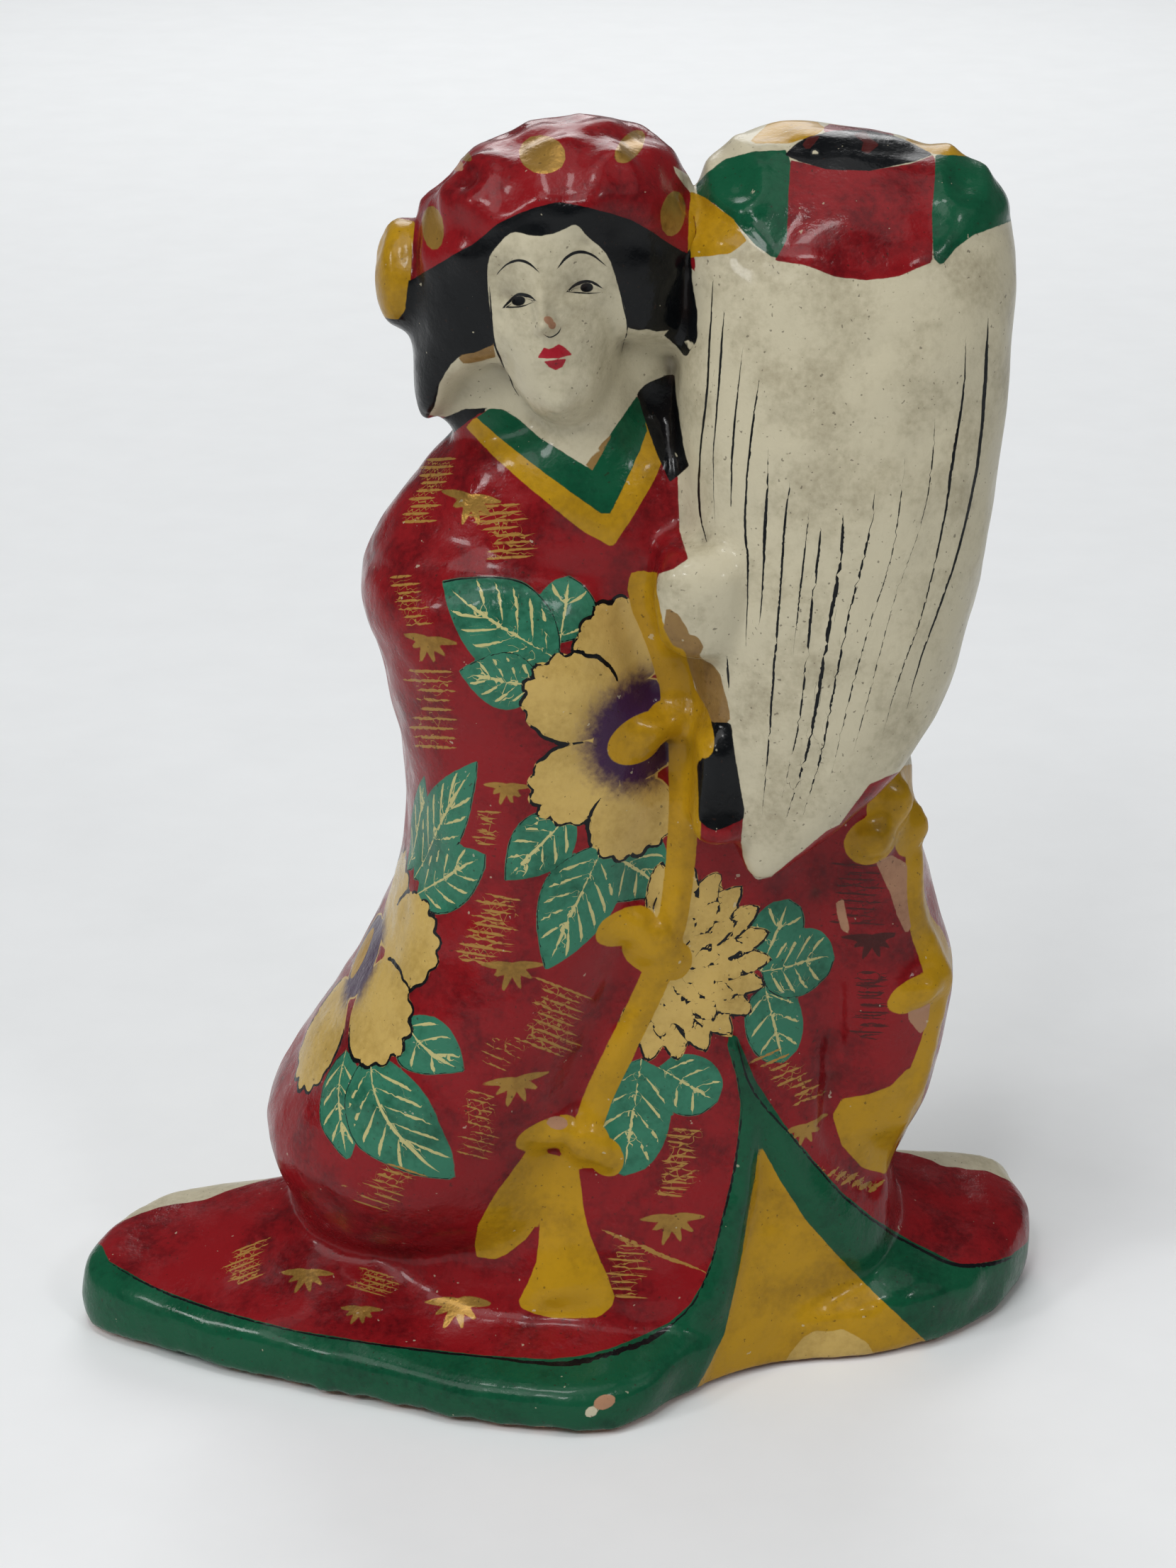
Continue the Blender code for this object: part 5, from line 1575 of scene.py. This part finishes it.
def painted_lacquer(colours, gloss):
    """Powder paints in glue on white ground, under a brushed lacquer that has yellowed.

    Each paint is cloudy where the brush laid it thin, its edges waver a little, and the lacquer
    over all of it shines with fine dents, duller where the white ground lies open.
    """
    material = bpy.data.materials.new("painted_lacquered_clay")
    material.use_nodes = True
    tree = material.node_tree
    shader = tree.nodes["Principled BSDF"]
    place = add(tree, "ShaderNodeTexCoord").outputs["Object"]
    clouds = stepped(tree, clouded(tree, place, *BRUSH_CLOUDS), *CLOUDS_FADE)
    grain = clouded(tree, place, *GRAIN)
    grained = worked(tree, "MULTIPLY", grain, GRAIN_PART)
    brushed = worked(tree, "MULTIPLY_ADD", clouds, CLOUDS_PART, grained)
    brushed = stepped(tree, brushed, *BRUSH_FADE)
    waver = clouded(tree, place, *WAVER)
    waver = worked(tree, "MULTIPLY_ADD", waver, WAVER_PART, -WAVER_PART / 2)
    stray = worked(tree, "SUBTRACT", clouded(tree, place, *STRAY), 0.5)

    colour = mixed(tree, brushed, opaque(colours.red_dark), opaque(colours.red))
    patchy = stepped(tree, clouded(tree, place, *PATCHES), *PATCHES_FADE)
    rough = worked(tree, "MULTIPLY_ADD", grain, GRAIN_DULL, LACQUER_DULL)
    rough = worked(tree, "MULTIPLY_ADD", patchy, PATCHES_DULL, rough)
    metal = 0.0
    for paint in PAINTS:
        depth = worked(tree, "MULTIPLY_ADD", waver, COAT_WAVER, read(tree, paint))
        share = stepped(tree, depth, *COAT_FADE)
        dark, light = getattr(colours, paint + "_dark"), getattr(colours, paint)
        colour = mixed(tree, share, colour, mixed(tree, brushed, opaque(dark), opaque(light)))
        if paint in DULL:
            rough = worked(tree, "MAXIMUM", rough, worked(tree, "MULTIPLY", share, DULL[paint]))
        if paint == "gold":
            metal = worked(tree, "MULTIPLY", share, GOLD_METAL)
    spread = worked(tree, "MULTIPLY_ADD", grain, STAIN_GRAIN, read(tree, "stain"))
    on_petal = stepped(tree, read(tree, "petal"), *PETAL_FADE)
    spread = worked(tree, "MULTIPLY", stepped(tree, spread, *STAIN_FADE), on_petal)
    colour = mixed(tree, spread, colour, opaque(colours.stain))
    for pen, paint in PENS.items():
        line = read(tree, pen, "Vector")
        away, half, _ = add(tree, "ShaderNodeSeparateXYZ", {}, {0: line}).outputs
        strayed = worked(tree, "MULTIPLY_ADD", stray, STRAY_PART, away)
        inside = worked(tree, "SUBTRACT", half, worked(tree, "ABSOLUTE", strayed))
        inside = worked(tree, "MULTIPLY_ADD", waver, LINE_WAVER, inside)
        share = stepped(tree, inside, *LINE_FADE)
        if pen in DRY:
            share = worked(tree, "MULTIPLY", share, stepped(tree, grain, *DRY[pen]))
        colour = mixed(tree, share, colour, opaque(getattr(colours, paint)))

    # Painted shade darkens the creases where the clay is hollow; then real specks of dirt, and pale
    # flecks
    marks = (
        (stepped(tree, read(tree, "hollow"), *CREASE_SHADE_FADE), CREASE_SHADE_PART, colours.dirt_and_crease_shade),
        (stepped(tree, clouded(tree, place, *SPECKS), *SPECKS_FADE), SPECKS_PART, colours.dirt_and_crease_shade),
        (stepped(tree, clouded(tree, place, *FLECKS), *FLECKS_FADE), FLECKS_PART, colours.white),
    )
    for mark, part, tint in marks:
        colour = mixed(tree, worked(tree, "MULTIPLY", mark, part), colour, opaque(tint))

    fine = worked(tree, "MULTIPLY", clouded(tree, place, *FINE_DENTS), DENTS_FINE)
    fine = worked(tree, "MULTIPLY_ADD", grain, DENTS_GRAIN, fine)
    dents = worked(tree, "ADD", clouded(tree, place, *DENTS), fine)
    bump = add(
        tree, "ShaderNodeBump", {},
        {"Strength": DENT_STRENGTH, "Distance": DENT_DEPTH, "Height": dents},
    )
    tree.links.new(colour, shader.inputs["Base Color"])
    tree.links.new(rough, shader.inputs["Roughness"])
    tree.links.new(metal, shader.inputs["Metallic"])
    tree.links.new(bump.outputs[0], shader.inputs["Normal"])
    shader.inputs["Coat Weight"].default_value = gloss
    shader.inputs["Coat Roughness"].default_value = COAT_ROUGHNESS
    shader.inputs["IOR"].default_value = LACQUER_IOR
    return material


def shade(name, code, description):
    """A colour that a user may change, from its sRGB hex code."""
    return FloatVectorProperty(
        name=name, description=description, subtype="COLOR", size=3, min=0, max=1,
        default=linear(code),
    )


class ClayLadyCasting(bpy.types.PropertyGroup):
    """How finely the clay is cast."""

    grain: FloatProperty(
        name="Grain", description="Side of the smallest lump that the clay keeps, in metres",
        default=1.33 * SHARE, min=0.0008, max=0.004, unit="LENGTH", precision=4,
    )
    smoothing: IntProperty(
        name="Smoothing", description="How often the wet clay is stroked smooth", default=8, min=0,
        max=20,
    )


class ClayLadyColours(bpy.types.PropertyGroup):
    """The paints, each with the darker shade that shows where it lies thin."""

    red: shade("Red", "83161b", "Red of the robe, where it is thick")
    red_dark: shade("Dark red", "430a0f", "Red of the robe, where it is thin")
    white: shade("White", "c2baa0", "White of the face and the hairpiece")
    white_dark: shade("Dull white", "9c937a", "White that has yellowed")
    green: shade("Green", "125035", "Green of the hem and the lapels")
    green_dark: shade("Dark green", "0a3624", "Green, where it is thin")
    leaf: shade("Leaf green", "33735a", "Green of the painted leaves")
    leaf_dark: shade("Dark leaf", "114531", "Leaves, where they are thin")
    petal: shade("Petal", "c2a45e", "Pale ochre of the painted flowers")
    petal_dark: shade("Dark petal", "a48746", "Petals, where they are thin")
    gold: shade("Gold", "9c7838", "Gold of the maple leaves")
    gold_dark: shade("Dark gold", "6c4e22", "Gold, where it is rubbed")
    yellow: shade("Yellow", "b18716", "Yellow of the cords and the lining")
    yellow_dark: shade("Dark yellow", "8d6a15", "Yellow, where it is thin")
    black: shade("Black", "0d0f11", "Black of the hair and the cuff")
    black_dark: shade("Deep black", "060708", "Black, where it is thick")
    # Umber is the brown of chips on the cap, and the painted shade on gold motifs that lie in shadow
    umber_and_shade: shade("Umber", "471a18", "Dark brown of the motifs in the shade")
    umber_and_shade_dark: shade("Dark umber", "34110f", "Umber, where it is thick")
    tan: shade("Tan", "8d6f42", "Brown of the thin glue where the white ground has gone")
    tan_dark: shade("Dark tan", "6d5230", "Brown, where it is dirty")
    bare: shade("Bare clay", "a97f62", "Fired clay where the paint has chipped off")
    bare_dark: shade("Dark clay", "86604a", "Fired clay that has darkened")
    lip: shade("Lip red", "a32230", "Red of the lips")
    lip_dark: shade("Dark lip red", "8f1420", "Red of the lips, where it is thin")
    stain: shade("Purple", "3a1f3e", "Purple at the hearts of the flowers")
    vein: shade("Vein", "b9b27a", "Cream of the leaves' veins")
    gilt: shade("Gilt", "9d7639", "Gold of the mist's brush lines")
    # One colour for the specks of dirt and for the painted shade in the creases
    dirt_and_crease_shade: shade("Dirt_and_crease_shade", "2a1a14", "Dirt that has settled in the hollows")


class ClayLadyStage(bpy.types.PropertyGroup):
    """The finish, the floor and the light."""

    gloss: FloatProperty(
        name="Lacquer", description="How thick the lacquer lies", default=0.17, min=0, max=1,
        subtype="FACTOR",
    )
    floor: shade("Floor", "f4f6f7", "Colour of the floor")
    light: FloatProperty(
        name="Light", description="Strength of the light through the screens", default=0.78, min=0,
        max=10,
    )
    windows: FloatProperty(
        name="Windows", description="Power of the windows that the lacquer mirrors", default=3.7,
        min=0, max=50, unit="POWER",
    )


class ClayLadyCast(bpy.types.Operator):
    """Casts the figure in fine clay, paints it and lacquers it."""

    bl_idname = "clay_lady.cast"
    bl_label = "Clay lady"

    def execute(self, context):
        casting, stage = context.scene.clay_lady_casting, context.scene.clay_lady_stage
        skin, painting = cast_doll(casting.grain, casting.smoothing)
        set_attributes(skin, painting)
        skin.transform(Matrix.Translation(SETTLED * SHARE))
        drawn_in(skin)
        skin.shade_smooth()
        lady = bpy.data.objects.new("painted_lady", skin)
        context.scene.collection.objects.link(lady)
        skin.materials.clear()
        skin.materials.append(painted_lacquer(context.scene.clay_lady_colours, stage.gloss))
        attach(lady, "root")
        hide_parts("clay_doll")
        return {"FINISHED"}


def hung(scene, name, kind, turn, rise, away):
    """A lamp that looks at the middle of the figure."""
    lamp = bpy.data.lights.new(name, kind)
    stand = bpy.data.objects.new(name, lamp)
    a, e = math.radians(turn), math.radians(rise)
    way = Vector((math.sin(a) * math.cos(e), -math.cos(a) * math.cos(e), math.sin(e)))
    stand.location = Vector((0, 0, HIGH.z / 2)) + away * way
    stand.rotation_euler = way.to_track_quat("Z", "Y").to_euler()
    scene.collection.objects.link(stand)
    return lamp


class ClayLadySetStage(bpy.types.Operator):
    """Lays the floor, hangs the lights and stands the camera where the photograph was taken."""

    bl_idname = "clay_lady.set_stage"
    bl_label = "Floor, light and camera"

    def execute(self, context):
        scene, stage = context.scene, context.scene.clay_lady_stage
        scene.view_settings.view_transform = "Standard"
        bm = bmesh.new()
        bmesh.ops.create_grid(bm, x_segments=1, y_segments=1, size=FLOOR)
        mesh = bpy.data.meshes.new("floor")
        bm.to_mesh(mesh)
        bm.free()
        floor = bpy.data.objects.new("floor", mesh)
        scene.collection.objects.link(floor)
        mesh.materials.append(floor_paper(stage.floor))
        world = bpy.data.worlds.new("studio")
        world.use_nodes = True
        world.node_tree.nodes["Background"].inputs["Color"].default_value = opaque(linear(SKY))
        world.node_tree.nodes["Background"].inputs["Strength"].default_value = WORLD_STRENGTH
        scene.world = world
        for name, turn, rise, spread, share in SUNS:
            sun = hung(scene, name, "SUN", turn, rise, SUN_AWAY)
            sun.angle = math.radians(spread)
            sun.energy = stage.light * share
        for name, turn, rise, away, side, share in WINDOWS:
            window = hung(scene, name, "AREA", turn, rise, away)
            window.shape = "SQUARE"
            window.size = side
            window.energy = stage.windows * share
        camera = bpy.data.cameras.new("camera")
        camera.lens = LENS
        camera.sensor_fit = "VERTICAL"
        camera.sensor_height = SENSOR
        camera.sensor_width = SENSOR
        stand = bpy.data.objects.new("camera", camera)
        stand.location = (CAMERA_PLACE + SETTLED) * SHARE
        stand.rotation_euler = (math.pi / 2 - CAMERA_RISE, 0, 0)
        scene.collection.objects.link(stand)
        scene.camera = stand
        return {"FINISHED"}


def floor_paper(colour):
    """Matt white card: it gives the figure a soft shadow and no glare."""
    material = bpy.data.materials.new("matt_card")
    material.use_nodes = True
    tree = material.node_tree
    shader = tree.nodes["Principled BSDF"]
    place = add(tree, "ShaderNodeTexCoord").outputs["Object"]
    fibre = clouded(tree, place, *FLOOR_FIBRE)
    tone = mixed(tree, fibre, opaque(colour), opaque([FIBRE_SHADE * c for c in colour]))
    tree.links.new(tone, shader.inputs["Base Color"])
    shader.inputs["Roughness"].default_value = FLOOR_ROUGHNESS
    return material


class ClayLadyPanel(bpy.types.Panel):
    """Lists the figure and its stage in the sidebar of the 3D view."""

    bl_idname = "CLAY_LADY_PT_panel"
    bl_label = "Clay lady"
    bl_space_type = "VIEW_3D"
    bl_region_type = "UI"
    bl_category = "Clay lady"

    def draw(self, context):
        for group in ("clay_lady_casting", "clay_lady_colours", "clay_lady_stage"):
            values = getattr(context.scene, group)
            box = self.layout.box()
            for name in values.bl_rna.properties.keys():
                if name not in ("rna_type", "name"):
                    box.prop(values, name)
        for step in STEPS:
            self.layout.operator(step.bl_idname)


STEPS = (ClayLadyCast, ClayLadySetStage)
GROUPS = {
    "clay_lady_casting": ClayLadyCasting,
    "clay_lady_colours": ClayLadyColours,
    "clay_lady_stage": ClayLadyStage,
}


def register():
    """Registers the add-on's classes and its groups of values."""
    for part in (*GROUPS.values(), *STEPS, ClayLadyPanel):
        bpy.utils.register_class(part)
    for name, group in GROUPS.items():
        setattr(bpy.types.Scene, name, PointerProperty(type=group))


def unregister():
    """Takes them away again."""
    for name in GROUPS:
        delattr(bpy.types.Scene, name)
    for part in (ClayLadyPanel, *reversed(STEPS), *reversed(GROUPS.values())):
        bpy.utils.unregister_class(part)


def main():
    """Makes the figure and its stage."""
    register()
    bpy.ops.clay_lady.cast()
    bpy.ops.clay_lady.set_stage()


if __name__ == "__main__":
    main()
